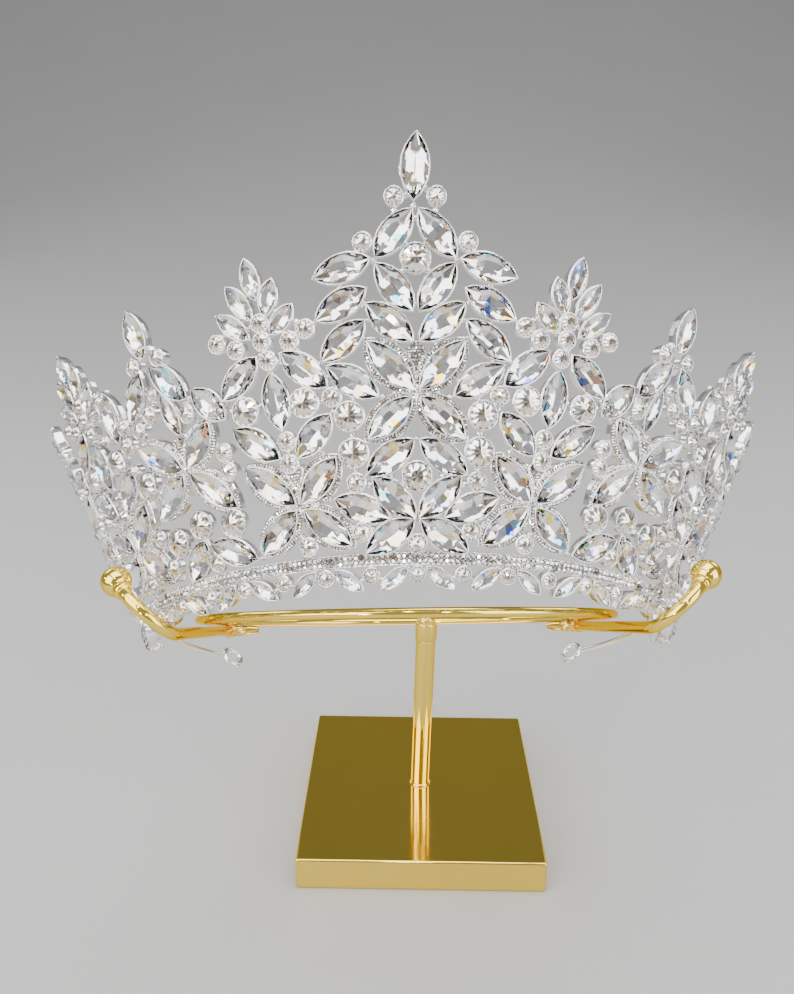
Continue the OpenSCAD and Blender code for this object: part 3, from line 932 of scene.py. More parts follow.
def petal_cup(length):
    """A petal's plate with its lip, its bed for seeds and the cup of its stone."""
    outline = navette_outline(length, PETAL_WIDTH, PETAL_CORNERS)
    bed = navette_outline(length - LIP_LENGTH, PETAL_WIDTH - LIP_WIDTH, PETAL_CORNERS)
    stone = navette_outline(length - PETAL_BORDER - RIM, PETAL_WIDTH - 2 * PETAL_BORDER, PETAL_CORNERS)
    rim = navette_outline(length - PETAL_BORDER, PETAL_WIDTH - 2 * PETAL_BORDER + RIM, PETAL_CORNERS)
    rings = [
        ring(outline, PLATE_BACK[0], CUP_BACK),
        ring(outline, PLATE_BACK[1], CUP_BACK + CUP_EDGE),
        ring(outline, 1.0, PLATE_TOP + PLATE_LIP / 2),
        between(outline, bed, 0.5, PLATE_TOP + PLATE_LIP),
        ring(bed, 1.0, PLATE_TOP),
        ring(rim, 1.0, PLATE_TOP),
    ]
    points, faces = stack(rings + rim_rings(rim, stone))
    slots = [0] * len(faces)
    # The bed's faces take the finish with the painted shade.
    first = 1 + BED_RING * PETAL_CORNERS
    slots[first : first + PETAL_CORNERS] = [1] * PETAL_CORNERS
    return points, faces, slots


def wedge_cup(reach):
    """The plate of a pave wedge between two petals, with its bed for seeds."""
    outline = wedge_outline(reach)
    bed = wedge_outline(reach, WEDGE_LIP)
    rings = [
        ring(outline, 1.0, CUP_BACK),
        ring(outline, 1.0, PLATE_TOP + PLATE_LIP),
        ring(bed, 1.0, PLATE_TOP + PLATE_LIP),
        ring(bed, 1.0, PLATE_TOP),
    ]
    points, faces = stack(rings)
    # The bed on top takes the finish with the painted shade.
    return points, faces, [0] * (len(faces) - 1) + [1]


print("rings of a bare cup:", 3 + len(rim_rings(seats[0].rim, seats[0].stone)))

# %% A cup for every stone
CUP_GROUPS = {
    "heart_cups": ("heart", "apex", "upper", "lower"),
    "fan_cups": ("fan",),
    "crest_cups": ("crest",),
    "side_cups": ("side",),
    "corner_cups": ("corner",),
    "fringe_cups": ("fringe",),
}
for name, starts in CUP_GROUPS.items():
    pile = Pile()
    for seat in seats:
        if seat.node.startswith(starts):
            shape = petal_cup(seat.petal) if seat.petal else cup(seat.rim, seat.stone)
            pile.add(CROWN @ seat.place, *shape)
    register(pile.make(name, [BRIGHT_SILVER, PAVE_BED_PAINTED_SHADE]), "crown_frame")
    print(name, "faces:", len(pile.faces))

# %% A wedge for every flower
wedge_places = []
for line, (middle, rows), reach in WEDGES:
    lean = (rows[0][0] + rows[1][0]) / 2
    for side in SIDES.values() if line else (1,):
        wedge_places.append((on_panel(side, line, *middle, lean), reach))
pile = Pile()
for place, reach in wedge_places:
    pile.add(CROWN @ place, *wedge_cup(reach))
register(pile.make("pave_wedges", [BRIGHT_SILVER, PAVE_BED_PAINTED_SHADE]), "crown_frame")
print("wedges:", len(wedge_places))


# %% [markdown]
# ## Geometry Nodes for what repeats
# Bright rims, rods, seeds and beads of solder repeat hundreds of times, so each gets a node tree instead
# of a loop: one tree sweeps a wire along a line, the other scatters a small shape on points. A tree is
# built once, with named inputs, and its result is turned into a plain mesh, because the finished model
# can hold no live nodes.


# %% Building and using a node tree
def node_tree(name, inputs):
    """A new tree with a geometry input, the named inputs and a geometry output."""
    tree = bpy.data.node_groups.new(name, "GeometryNodeTree")
    tree.interface.new_socket("Geometry", in_out="INPUT", socket_type="NodeSocketGeometry")
    for label, kind in inputs.items():
        tree.interface.new_socket(label, in_out="INPUT", socket_type=kind)
    tree.interface.new_socket("Geometry", in_out="OUTPUT", socket_type="NodeSocketGeometry")
    return tree, tree.nodes.new("NodeGroupInput"), tree.nodes.new("NodeGroupOutput")


def tree_node(tree, kind, sockets, **settings):
    """A node in a tree: its settings first, then values or output sockets for its inputs."""
    made = tree.nodes.new(kind)
    for name, value in settings.items():
        setattr(made, name, value)
    for name, value in sockets.items():
        if isinstance(value, bpy.types.NodeSocket):
            tree.links.new(value, made.inputs[name])
        else:
            made.inputs[name].default_value = value
    return made


def carried(tree, name, kind):
    """What a named attribute says at each point."""
    reader = tree_node(tree, "GeometryNodeInputNamedAttribute", {"Name": name}, data_type=kind)
    return reader.outputs["Attribute"]


def end_tree(tree, start, end, geometry):
    """The end of each tree: real geometry with the finish that the tree is given."""
    real = tree_node(tree, "GeometryNodeRealizeInstances", {"Geometry": geometry})
    sockets = {"Geometry": real.outputs[0], "Material": start.outputs["Finish"]}
    painted = tree_node(tree, "GeometryNodeSetMaterial", sockets)
    tree.links.new(painted.outputs[0], end.inputs[0])


def grown(name, points, edges, attributes, tree, **inputs):
    """Runs a tree on loose points and edges and returns what grew on them as a plain piece."""
    mesh = bpy.data.meshes.new(name)
    mesh.from_pydata(points, edges, [])
    for label, (kind, values) in attributes.items():
        attribute = mesh.attributes.new(label, kind, "POINT")
        attribute.data.foreach_set("vector" if kind == "FLOAT_VECTOR" else "value", values)
    seedbed = put(name + "_seedbed", mesh)
    modifier = seedbed.modifiers.new(tree.name, "NODES")
    modifier.node_group = tree
    for item in tree.interface.items_tree:
        if item.name in inputs:
            modifier[item.identifier] = inputs[item.name]
    result = seedbed.evaluated_get(bpy.context.evaluated_depsgraph_get())
    plain = bpy.data.meshes.new_from_object(result)
    seedbed.modifiers.clear()
    bpy.data.objects.remove(seedbed)
    bpy.data.meshes.remove(mesh)
    plain.name = name
    print(name, "faces:", len(plain.polygons))
    return put(name, plain)


print("tree helpers ready")


# %% A tree that sweeps a round rod along a line
def rod_tree():
    """Sweeps a circle along the edges. The attribute thick is the rod's radius at each point."""
    tree, start, end = node_tree("rod_on_line", {"Sides": "NodeSocketInt", "Finish": "NodeSocketMaterial"})
    line = tree_node(tree, "GeometryNodeMeshToCurve", {"Mesh": start.outputs["Geometry"]})
    circle = {"Resolution": start.outputs["Sides"], "Radius": 1.0}
    section = tree_node(tree, "GeometryNodeCurvePrimitiveCircle", circle)
    sweep = {
        "Curve": line.outputs[0],
        "Profile Curve": section.outputs[0],
        "Scale": carried(tree, "thick", "FLOAT"),
        "Fill Caps": True,
    }
    swept = tree_node(tree, "GeometryNodeCurveToMesh", sweep)
    shading = {"Geometry": swept.outputs[0], "Shade Smooth": True}
    smooth = tree_node(tree, "GeometryNodeSetShadeSmooth", shading)
    end_tree(tree, start, end, smooth.outputs[0])
    return tree


ROD_TREE = rod_tree()
print("rod tree nodes:", len(ROD_TREE.nodes))


# %% [markdown]
# ## Bright rims
# The rim that holds a stone catches the light as one thin line, and it is this line that draws the
# crown's pattern from far away. A wire swept round each outline does it with few faces.


# %% Rims
class Lines:
    """Points and edges of many lines, with a radius for each point."""

    def __init__(self):
        self.points = []
        self.edges = []
        self.thick = []

    def add(self, points, radii, closed=False):
        """A line in metres. Its radius is in millimetres: one number, or a list with one for each point."""
        start = len(self.points)
        count = len(points)
        if not isinstance(radii, list):
            radii = [radii] * count
        self.points.extend(points)
        self.thick.extend(radius * MM for radius in radii)
        self.edges.extend((start + i, start + i + 1) for i in range(count - 1))
        if closed:
            self.edges.append((start + count - 1, start))

    def make(self, name, sides, finish):
        attributes = {"thick": ("FLOAT", self.thick)}
        return grown(name, self.points, self.edges, attributes, ROD_TREE, Sides=sides, Finish=finish)


RIM_WIRE = 0.17
RIM_WIRE_SIDES = 5
RIM_WIRE_AT = 0.6
rims = Lines()
for seat in seats:
    place = CROWN @ seat.place
    line = between(seat.rim, seat.stone, RIM_WIRE_AT, RIM_TOP)
    rims.add([place @ point for point in line], RIM_WIRE, True)
register(rims.make("bright_rims", RIM_WIRE_SIDES, BRIGHT_SILVER), "crown_frame")


# %% [markdown]
# ## A tree that scatters seeds
# Pave work is hundreds of seed stones, each in a few grains of metal. The tree puts one small cut cone
# on each point, turned to face outwards, as large as the point says. No seed sits quite straight, so
# each is tipped a little its own way, and that is what makes pave work glitter. The number that picks
# each seed's painted light colour rides along to the finish.


# %% A tree that puts a small shape on points
def scatter_tree(name, shape, sockets):
    """Instances of one small mesh, turned along the attribute outward and scaled by the attribute wide."""
    tree, start, end = node_tree(name, {"Finish": "NodeSocketMaterial"})
    spots = tree_node(tree, "GeometryNodeMeshToPoints", {"Mesh": start.outputs["Geometry"]})
    outwards = {"Vector": carried(tree, "outward", "FLOAT_VECTOR")}
    facing = tree_node(tree, "FunctionNodeAlignRotationToVector", outwards, axis="Z")
    small = tree_node(tree, shape, sockets)
    instances = {
        "Points": spots.outputs[0],
        "Instance": small.outputs[0],
        "Rotation": facing.outputs[0],
        "Scale": carried(tree, "wide", "FLOAT"),
    }
    placed = tree_node(tree, "GeometryNodeInstanceOnPoints", instances)
    end_tree(tree, start, end, placed.outputs[0])
    return tree


SEED_CUT = {"Vertices": 8, "Radius Top": 0.26, "Radius Bottom": 0.5, "Depth": 0.42}
SEED_TREE = scatter_tree("seeds_on_points", "GeometryNodeMeshCone", SEED_CUT)
COARSE_BALL = {"Radius": 0.5, "Subdivisions": 1}
FINE_BALL = {"Radius": 0.5, "Subdivisions": 2}
GRAIN_TREE = scatter_tree("grains_on_points", "GeometryNodeMeshIcoSphere", COARSE_BALL)
BEAD_TREE = scatter_tree("beads_on_points", "GeometryNodeMeshIcoSphere", FINE_BALL)
print("scatter trees:", SEED_TREE.name, GRAIN_TREE.name, BEAD_TREE.name)


# %% Points for seeds
class Spots:
    """Points with a direction, a width and a number for a painted light colour."""

    def __init__(self):
        self.points = []
        self.outward = []
        self.wide = []
        self.painted_lights = []

    def add(self, place, point, width, tip=0):
        """A spot of a width in millimetres on a place's own surface, tipped sideways by up to a share."""
        whole = CROWN @ place
        lean = Vector((chance.uniform(-tip, tip), chance.uniform(-tip, tip), 1))
        self.points.append(whole @ point)
        self.outward.extend((whole.to_3x3() @ lean).normalized())
        self.wide.append(width * MM)
        # A random number that picks the spot's painted light colour.
        self.painted_lights.append(chance.random())

    def make(self, name, tree, finish):
        attributes = {
            "outward": ("FLOAT_VECTOR", self.outward),
            "wide": ("FLOAT", self.wide),
            "painted_light": ("FLOAT", self.painted_lights),
        }
        return grown(name, self.points, [], attributes, tree, Finish=finish)


print("spots ready")

# %% [markdown]
# ## The band
# The band is a flat strip, bent along the wall's foot, with two rows of seed stones between two raised
# edges. The strip is lofted: one section, repeated at short steps along the wall, and joined by quads.

# %% The band's strip
BAND_HALF = 1.4
BAND_SECTION = [
    (-BAND_HALF, -1.0), (BAND_HALF, -1.0), (BAND_HALF, 0.62), (BAND_HALF - 0.1, 0.72),
    (BAND_HALF - 0.26, 0.62), (BAND_HALF - 0.3, 0.4), (0.3 - BAND_HALF, 0.4), (0.26 - BAND_HALF, 0.62),
    (0.1 - BAND_HALF, 0.72), (-BAND_HALF, 0.62),
]
BAND_BED = 5
BAND_STEPS = 96


def strip():
    """Points, faces and finish numbers of the strip. Its two ends are capped."""
    points = []
    faces = []
    slots = []
    count = len(BAND_SECTION)
    for step in range(BAND_STEPS + 1):
        place = CROWN @ on_wall(BAND_END * (2 * step / BAND_STEPS - 1), 0)
        points += [place @ Vector((0, height, depth)) for height, depth in BAND_SECTION]
        if step:
            faces += wall((step - 1) * count, step * count, count)
            # The faces of the band's bed take the finish with the painted shade.
            slots += [int(corner == BAND_BED) for corner in range(count)]
    faces.append(list(range(count))[::-1])
    faces.append([BAND_STEPS * count + i for i in range(count)])
    return points, faces, slots + [0, 0]


pile = Pile()
pile.add(Matrix.Identity(4), *strip())
register(pile.make("band_strip", [BRIGHT_SILVER, PAVE_BED_PAINTED_SHADE]), "crown_frame")
print("band sections:", BAND_STEPS + 1)

# %% The band's seeds and grains
SEED_TIP = 0.3
BAND_SEED_STEP = 1.12
BAND_SEED = BAND_SEED_STEP * 0.96
BAND_GRAIN = 0.36
BAND_LEVEL = 0.62
BAND_SEED_ROWS = (-0.54, 0.54)
BAND_GRAIN_ROWS = (-0.92, 0, 0.92)
band_seeds = Spots()
band_grains = Spots()
count = int(2 * BAND_END / BAND_SEED_STEP)
for number in range(count):
    middle = on_wall(BAND_END * (2 * (number + 0.5) / count - 1), 0)
    for row in BAND_SEED_ROWS:
        band_seeds.add(middle, Vector((0, row, BAND_LEVEL)), BAND_SEED, SEED_TIP)
    edge = on_wall(BAND_END * (2 * number / count - 1), 0)
    for row in BAND_GRAIN_ROWS:
        band_grains.add(edge, Vector((0, row, BAND_LEVEL)), BAND_GRAIN)
register(band_seeds.make("band_seeds", SEED_TREE, SEED_CRYSTAL), "crown_frame")
register(band_grains.make("band_grains", GRAIN_TREE, BRIGHT_SILVER), "crown_frame")

# %% [markdown]
# ## Seeds on the petals
# The crown's flowers are four large navettes that meet tip to tip. The border of each petal's plate
# carries rows of the smallest seeds. Rows follow the petal's own outline, made smaller step by step. A
# wedge is filled with rows across it, as many seeds in each as its width takes.

# %% Seeds on the petals' borders
SEED_STEP = 0.66
SEED = SEED_STEP * 0.94
SEED_LEVEL = PLATE_TOP + 0.16
BORDER_ROWS = [(1.5, 1.05), (2.6, 2.2)]


def row_points(outline, step):
    """Points at even steps along an outline, without its two tips."""
    made = []
    half = len(outline) // 2
    for first in (0, half):
        side = [outline[(first + i) % len(outline)] for i in range(half + 1)]
        lengths = [(b - a).length for a, b in zip(side, side[1:])]
        total = sum(lengths)
        pieces = max(1, round(total / step))
        for number in range(pieces):
            left = total * (number + 0.5) / pieces
            for a, b, length in zip(side, side[1:], lengths):
                if left <= length:
                    made.append(a.lerp(b, left / length))
                    break
                left -= length
    return made


border_seeds = {"front": Spots(), "side": Spots()}
for seat in seats:
    if not seat.petal:
        continue
    spots = border_seeds["side" if seat.node.startswith("side") else "front"]
    for shorter, slimmer in BORDER_ROWS:
        outline = navette_outline(seat.petal - shorter, PETAL_WIDTH - slimmer, PETAL_CORNERS)
        for point in row_points(outline, SEED_STEP):
            spots.add(seat.place, Vector((point.x, point.y, SEED_LEVEL)), SEED, SEED_TIP)
for place, reach in wedge_places:
    bed = wedge_outline(reach, WEDGE_LIP)[: len(WEDGE_HALF)]
    for low, high in zip(bed, bed[1:]):
        rows = round((high.y - low.y) / SEED_STEP)
        for row in range(rows):
            spot = low.lerp(high, (row + 0.5) / rows)
            across = int(2 * spot.x / SEED_STEP) + 1
            for number in range(across):
                point = Vector(((number - (across - 1) / 2) * SEED_STEP, spot.y, SEED_LEVEL))
                border_seeds["front"].add(place, point, SEED, SEED_TIP)
for name, spots in border_seeds.items():
    register(spots.make(f"{name}_petal_seeds", SEED_TREE, SEED_CRYSTAL), "crown_frame")

# %% [markdown]
# ## The stand
# The stand is a square plate, an upright, and a ring with two arms that end in hooks with balls. The
# crown rests on the arms. Rods follow lines, so the rod tree draws them; turned pieces, such as balls
# and collars, are spun from a profile.

# %% Rods of the stand
UPRIGHT = 3.5
UPRIGHT_AT = 171
UPRIGHT_RISE = 0.8
UPRIGHT_STEPS = 6
FOOT = Vector((0, 0, 12))
RING_ROD = 1.2
RING_RADIUS = 58.8
RING_LEAN = 15.2
RING_MIDDLE = Vector((0, -4.7, 8.4))
RING_STEP = 3
ARM_ROD = 1.5
ARM_TIP_ROD = 0.9
ARM_TIP = Vector((46.8, 23.4, 13.5))
ARM_WELD = Vector((54.5, 16.6, 11.4))
ARM_END = Vector((55.3, -52.7, -8.75))
ARM_STEPS = 8
STUB_STEPS = 4
HOOK_OUT = Vector((0.73, -0.12, 0.67))
HOOK_RADIUS = 8.5
HOOK_TURN = 130
HOOK_STEPS = 20
BALL_STEM = 3
ROD_SIDES = 40


def on_ring(angle):
    """A point of the ring's rod, at an angle from its front, in the crown's millimetres."""
    bare = Vector((math.sin(math.radians(angle)), -math.cos(math.radians(angle)), 0)) * RING_RADIUS
    return RING_MIDDLE + turn(RING_LEAN, "X") @ bare


def mirrored(point, side):
    return Vector((point.x * side, point.y, point.z))


def hook_line():
    """The right arm from its weld to inside the ball: points, the hook's end and its direction."""
    way = (ARM_END - ARM_WELD).normalized()
    out = (HOOK_OUT - HOOK_OUT.dot(way) * way).normalized()
    middle = ARM_END + HOOK_RADIUS * out
    points = [ARM_WELD.lerp(ARM_END, step / ARM_STEPS) for step in range(ARM_STEPS + 1)]
    for step in range(1, HOOK_STEPS + 1):
        angle = math.radians(HOOK_TURN * step / HOOK_STEPS)
        points.append(middle + HOOK_RADIUS * (math.sin(angle) * way - math.cos(angle) * out))
    angle = math.radians(HOOK_TURN)
    ahead = math.cos(angle) * way + math.sin(angle) * out
    points.append(points[-1] + BALL_STEM * ahead)
    return points, points[-2], ahead


def in_stand(point):
    """A point of the crown's millimetres in millimetres of the stand, which stands upright."""
    return CROWN @ point * 1000


hook, hook_end, hook_way = hook_line()
upright_top = in_stand(on_ring(UPRIGHT_AT))
upright_way = (upright_top - FOOT).normalized()
lift = upright_way * UPRIGHT_RISE
rods = Lines()
rods.add([CROWN @ on_ring(angle) for angle in range(0, 360, RING_STEP)], RING_ROD, True)
for side in SIDES.values():
    rods.add([CROWN @ mirrored(point, side) for point in hook], ARM_ROD)
    stub = [ARM_TIP.lerp(ARM_WELD, step / STUB_STEPS) for step in range(STUB_STEPS + 1)]
    rods.add([CROWN @ mirrored(point, side) for point in stub], [ARM_TIP_ROD] + [ARM_ROD] * STUB_STEPS)
steps = [step / UPRIGHT_STEPS for step in range(UPRIGHT_STEPS + 1)]
rods.add([(FOOT + lift).lerp(upright_top + lift, step) * MM for step in steps], UPRIGHT)
register(rods.make("gold_rods", ROD_SIDES, POLISHED_GOLD), "stand_rack")


# %% Turned pieces of the stand
def lathe(profile, sides):
    """Points and faces of a profile of (height, radius) spun round Z. Its two ends lie on the axis."""
    points = [Vector((0, 0, profile[0][0]))]
    for height, radius in profile[1:-1]:
        for corner in range(sides):
            angle = 2 * math.pi * corner / sides
            points.append(Vector((radius * math.cos(angle), radius * math.sin(angle), height)))
    points.append(Vector((0, 0, profile[-1][0])))
    rows = len(profile) - 2
    top = 1 + (rows - 1) * sides
    faces = [[0, 1 + (i + 1) % sides, 1 + i] for i in range(sides)]
    for row in range(rows - 1):
        faces += wall(1 + row * sides, 1 + (row + 1) * sides, sides)
    faces += [[len(points) - 1, top + i, top + (i + 1) % sides] for i in range(sides)]
    return points, faces


def ball_profile(radius, centre, rows):
    angles = [math.pi * row / rows for row in range(rows + 1)]
    return [(centre - radius * math.cos(angle), radius * math.sin(angle)) for angle in angles]


TURNED_SIDES = 48
COLLAR = [(0, 0), (0, 3.5), (0.15, 3.75), (0.4, 3.85), (6.6, 3.85), (7.0, 3.75), (7.2, 3.5), (7.2, 0)]
COLLAR_DROP = 7
FOOT_DISC = [(0, 0), (0, 3.9), (0.3, 3.95), (0.7, 3.85), (0.9, 3.4), (0.9, 0)]
UPRIGHT_END = [(-0.6, 0), (-0.6, 3.3), (0, 3.52), (0.5, 3.4), (0.9, 2.9), (1.1, 0)]
HOOK_COLLAR = [(-0.2, 0), (-0.2, 1.7), (0.1, 2.0), (0.5, 2.1), (1.4, 2.1), (1.8, 2.0), (2.0, 1.7), (2.0, 0)]
BALL = ball_profile(3.5, 5, 20)
UP = Vector((0, 0, 1))
fittings = [
    (FOOT_DISC, FOOT, UP),
    (COLLAR, upright_top - COLLAR_DROP * upright_way, upright_way),
    (UPRIGHT_END, upright_top + lift, upright_way),
]
for side in SIDES.values():
    start = in_stand(mirrored(hook_end, side))
    ahead = (in_stand(mirrored(hook_end + hook_way, side)) - start).normalized()
    fittings += [(HOOK_COLLAR, start, ahead), (BALL, start, ahead)]
turned = Pile()
for profile, start, way in fittings:
    upright = way.to_track_quat("Z", "Y").to_matrix().to_4x4()
    turned.add(Matrix.Scale(MM, 4) @ Matrix.Translation(start) @ upright, *lathe(profile, TURNED_SIDES))
register(turned.make("gold_fittings", [POLISHED_GOLD], True), "stand_rack")
print("turned pieces:", len(fittings))


# %% [markdown]
# Where rods are soldered the metal ran into a lump. A ball of faces, pushed in and out by noise, gives
# that lump, and the brushed solder finish does the rest.


# %% Solder lumps of the stand
LUMP_SIDES = 32
LUMP_ROWS = 16
LUMP_WAVES = [(0.16, 1.7), (0.06, 5)]
STUB_LUMP_AT = 0.35
RING_LUMP_SHIFT = Vector((0, -1.2, 1.2))


def lump(centre, radii, seed):
    """Points and faces of a ball with an uneven surface, from millimetres of the stand."""
    points, faces = lathe(ball_profile(1, 0, LUMP_ROWS), LUMP_SIDES)
    shift = Vector((seed, 0, 0))
    uneven = []
    for point in points:
        push = 1 + sum(depth * noise.noise(point * waves + shift) for depth, waves in LUMP_WAVES)
        uneven.append(centre + Vector([share * radius for share, radius in zip(point, radii)]) * push)
    return uneven, faces


lumps = []
for number, side in enumerate(SIDES.values()):
    stub_middle = ARM_WELD.lerp(ARM_TIP, STUB_LUMP_AT)
    lumps.append((in_stand(mirrored(ARM_WELD, side)), (2.4, 2.9, 1.9), 3 + 5 * number))
    lumps.append((in_stand(mirrored(stub_middle, side)), (2.3, 2.3, 1.7), 4 + 5 * number))
lumps.append((upright_top + RING_LUMP_SHIFT, (2.9, 2.6, 2.2), 20))
solder = Pile()
for centre, radii, seed in lumps:
    solder.add(Matrix.Scale(MM, 4), *lump(centre, radii, seed))
register(solder.make("gold_solder_lumps", [GOLD_SOLDER], True), "stand_rack")
print("solder lumps:", len(lumps))

# %% [markdown]
# ## The base plate
# A block with a mirror polish shows its edges more than its faces, so the edges are what is modelled: a
# bevel with several segments on each of them.

# %% The base plate
BASE_HALF = 0.0425
BASE_HEIGHT = 0.012
BASE_EDGE = 0.0008
corners = [(-1, -1), (1, -1), (1, 1), (-1, 1)]
mesh = bpy.data.meshes.new("gold_base")
mesh.from_pydata(
    [(BASE_HALF * x, BASE_HALF * y, height) for height in (0, BASE_HEIGHT) for x, y in corners],
    [],
    [[3, 2, 1, 0], [0, 1, 5, 4], [1, 2, 6, 5], [2, 3, 7, 6], [3, 0, 4, 7], [4, 5, 6, 7]],
)
mesh.materials.append(POLISHED_GOLD)
mesh.polygons.foreach_set("use_smooth", [True] * len(mesh.polygons))
base = put("gold_base", mesh)
bevel = base.modifiers.new("rounded edges", "BEVEL")
bevel.width = BASE_EDGE
bevel.segments = 5
bevel.limit_method = "NONE"
bevel.harden_normals = True
register(base, "stand_base")
print("base edge:", BASE_EDGE, "m")

# %% [markdown]
# ## Back wires
# At each end of the band a silver wire runs back and curls into an eye, where a ribbon or a hair grip
# holds the crown. A ferrule joins the wire to the band.

# %% Back wires
WIRE_START = Vector((70.9, -18.5, 7.2))
WIRE_STRAIGHT = 18.5
WIRE_CURVE = 45
WIRE_TURN = 44.5
WIRE_STEPS = (4, 12)
WIRE_ROD = 0.75
WIRE_SIDES = 16
EYE_RADIUS = 3
EYE_TURN = 120
EYE_CORNERS = 24
EYE_ROD = 0.9
FERRULE = [(4.5, 1.2), (4.8, 1.5), (6.6, 1.5), (6.8, 1.3), (7.0, 1.5), (8.7, 1.5), (9, 1.2)]


def wire_line():
    """The right wire's own line, then the line of its eye."""
    straight, curve = WIRE_STEPS
    line = [WIRE_START + Vector((0, WIRE_STRAIGHT * step / straight, 0)) for step in range(straight)]
    centre = WIRE_START + Vector((-WIRE_CURVE, WIRE_STRAIGHT, 0))
    for step in range(curve + 1):
        angle = math.radians(WIRE_TURN * step / curve)
        line.append(centre + Vector((math.cos(angle), math.sin(angle), 0)) * WIRE_CURVE)
    wire_end = Matrix.Translation(centre) @ turn(WIRE_TURN, "Z") @ Matrix.Translation((WIRE_CURVE, 0, 0))
    eye = []
    for step in range(EYE_CORNERS):
        angle = 2 * math.pi * step / EYE_CORNERS
        local = Vector((EYE_RADIUS * math.cos(angle), EYE_RADIUS + EYE_RADIUS * math.sin(angle), 0))
        eye.append(wire_end @ turn(EYE_TURN, "Y") @ local)
    return line, eye


wire, eye = wire_line()
ferrule = [WIRE_START + Vector((0, distance, 0)) for distance, radius in FERRULE]
ferrule_radii = [radius for distance, radius in FERRULE]
wires = Lines()
for side in SIDES.values():
    wires.add([CROWN @ mirrored(point, side) for point in wire], WIRE_ROD)
    wires.add([CROWN @ mirrored(point, side) for point in eye], EYE_ROD, True)
    wires.add([CROWN @ mirrored(point, side) for point in ferrule], ferrule_radii)
register(wires.make("back_wires", WIRE_SIDES, BRIGHT_SILVER), "crown_frame")

# %% [markdown]
# ## Solder joints between the cups
# Cups are soldered where they touch. The script looks for each pair of settings that lie close together,
# finds the two nearest points of their outlines, and puts a bead there, low on the wall, so that it
# carries the cups and hides behind their rims.

# %% Solder joints
JOINT_REACH = 1.3
JOINT_LEVEL = -0.35
JOINT_LAP = 0.9
BIGGEST_JOINT = 1.7
NEIGHBOURS = 16
BEAD = 2.2
BEADS = [
    (CREST_LINE, -6.2, 40), (CREST_LINE, 0.3, 54), (SIDE_CREST_LINE, -6.2, 40), (SIDE_CREST_LINE, 0.3, 54),
    (END_LINE, 3.6, 19.3), (END_LINE, 7.2, 36.8), (END_LINE, 3.5, 33),
]
places = []
for seat in seats:
    outline = navette_outline(seat.petal, PETAL_WIDTH) if seat.petal else seat.rim
    places.append([seat.place @ Vector((point.x, point.y, JOINT_LEVEL)) for point in outline])
centres = [sum(outline, Vector()) / len(outline) for outline in places]
joints = Spots()
for first in range(len(seats)):
    for second in range(first + 1, len(seats)):
        if (centres[first] - centres[second]).length > NEIGHBOURS:
            continue
        pairs = (((a - b).length, a, b) for a in places[first] for b in places[second])
        gap, a, b = min(pairs, key=lambda pair: pair[0])
        if gap < JOINT_REACH:
            local = seats[first].place.inverted() @ ((a + b) / 2)
            joints.add(seats[first].place, local, min(BIGGEST_JOINT, gap + JOINT_LAP))
for side in SIDES.values():
    for line, offset, height in BEADS:
        joints.add(on_panel(side, line, offset, height), Vector((0, 0, JOINT_LEVEL)), BEAD)
register(joints.make("solder_joints", BEAD_TREE, BRIGHT_SILVER), "crown_frame")
print("joints:", len(joints.points))

# %% [markdown]
# ## Floor and light
# The floor is pale and plain, and far behind the crown it curves up into a backdrop, so that no horizon
# shows. Crystal and polished metal show what stands around them: large soft lamps give the white
# patches, the grey room between them the quiet ones, and a few small lamps the sparks.


# %% Floor and backdrop
def pale_floor():
    finish = Finish("pale_floor")
    cloud = finish.grain(6, 3)
    return finish.surface(
        Base_Color=finish.blend(cloud, (0.42, 0.415, 0.41), (0.39, 0.385, 0.38)),
        Roughness=0.55 + cloud * 0.1,
    )


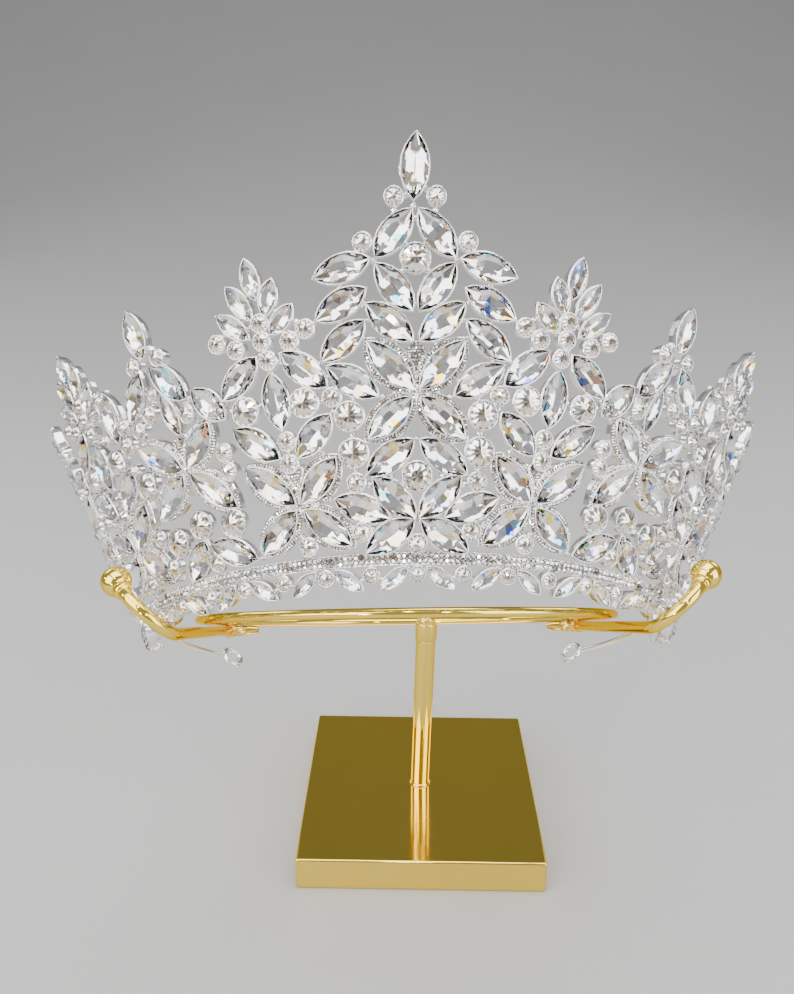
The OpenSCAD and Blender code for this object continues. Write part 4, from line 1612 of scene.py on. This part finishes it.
FLOOR_SIDE = 3
FLOOR_BACK = 0.7
BACKDROP_RADIUS = 2.2
BACKDROP_TOP = 3
BACKDROP_STEPS = 16
sweep = [(-FLOOR_SIDE, 0), (FLOOR_BACK, 0)]
for step in range(1, BACKDROP_STEPS + 1):
    angle = math.pi / 2 * step / BACKDROP_STEPS
    rise = BACKDROP_RADIUS * (1 - math.cos(angle))
    sweep.append((FLOOR_BACK + BACKDROP_RADIUS * math.sin(angle), rise))
sweep.append((sweep[-1][0], BACKDROP_TOP))
mesh = bpy.data.meshes.new("floor")
mesh.from_pydata(
    [(side * FLOOR_SIDE, y, z) for y, z in sweep for side in (-1, 1)],
    [],
    [[2 * i, 2 * i + 1, 2 * i + 3, 2 * i + 2] for i in range(len(sweep) - 1)],
)
mesh.polygons.foreach_set("use_smooth", [True] * len(mesh.polygons))
mesh.materials.append(pale_floor())
floor = put("floor", mesh)
print("floor side:", 2 * FLOOR_SIDE, "m")


# %% Lamps
LIT_POINT = Vector((0, -0.03, 0.12))
SPARKS = [(-0.3, -0.9, 0.2), (0.35, -0.95, 0.6), (0.0, -0.7, 0.9), (-0.9, -0.2, 0.5)]
SPARK_SIZE = (0.07, 0.07)
SPARK_RADIANCE = 60
ROOM_GREY = (0.42, 0.42, 0.43, 1)


def lamp(name, place, size, radiance, colour=(1, 1, 1)):
    """A rectangular lamp that faces the crown. Radiance is how bright its own face looks."""
    light = bpy.data.lights.new(name, "AREA")
    light.shape = "RECTANGLE"
    light.size, light.size_y = size
    light.energy = radiance * math.pi * size[0] * size[1]
    light.color = colour
    way = LIT_POINT - Vector(place)
    facing = way.to_track_quat("-Z", "Y").to_matrix().to_4x4()
    put(name, light).matrix_world = Matrix.Translation(place) @ facing


lamp("key", (-0.85, -0.85, 0.8), (1.1, 1.1), 5.5, (1.0, 0.98, 0.95))
lamp("fill", (1.0, -0.75, 0.5), (0.9, 1.1), 4.5, (0.95, 0.97, 1.0))
lamp("top", (0.05, -0.1, 1.3), (1.4, 0.9), 5.0)
lamp("left rim", (-1.0, 0.8, 0.8), (0.6, 0.6), 4.0)
lamp("right rim", (1.0, 0.8, 0.8), (0.6, 0.6), 4.0)
for number, place in enumerate(SPARKS):
    lamp(f"spark_{number}", place, SPARK_SIZE, SPARK_RADIANCE)
world = bpy.data.worlds.new("grey room")
world.use_nodes = True
world.node_tree.nodes["Background"].inputs["Color"].default_value = ROOM_GREY
world.node_tree.nodes["Background"].inputs["Strength"].default_value = 1.0
bpy.context.scene.world = world
print("lamps:", sum(1 for thing in bpy.data.objects if thing.type == "LIGHT"))
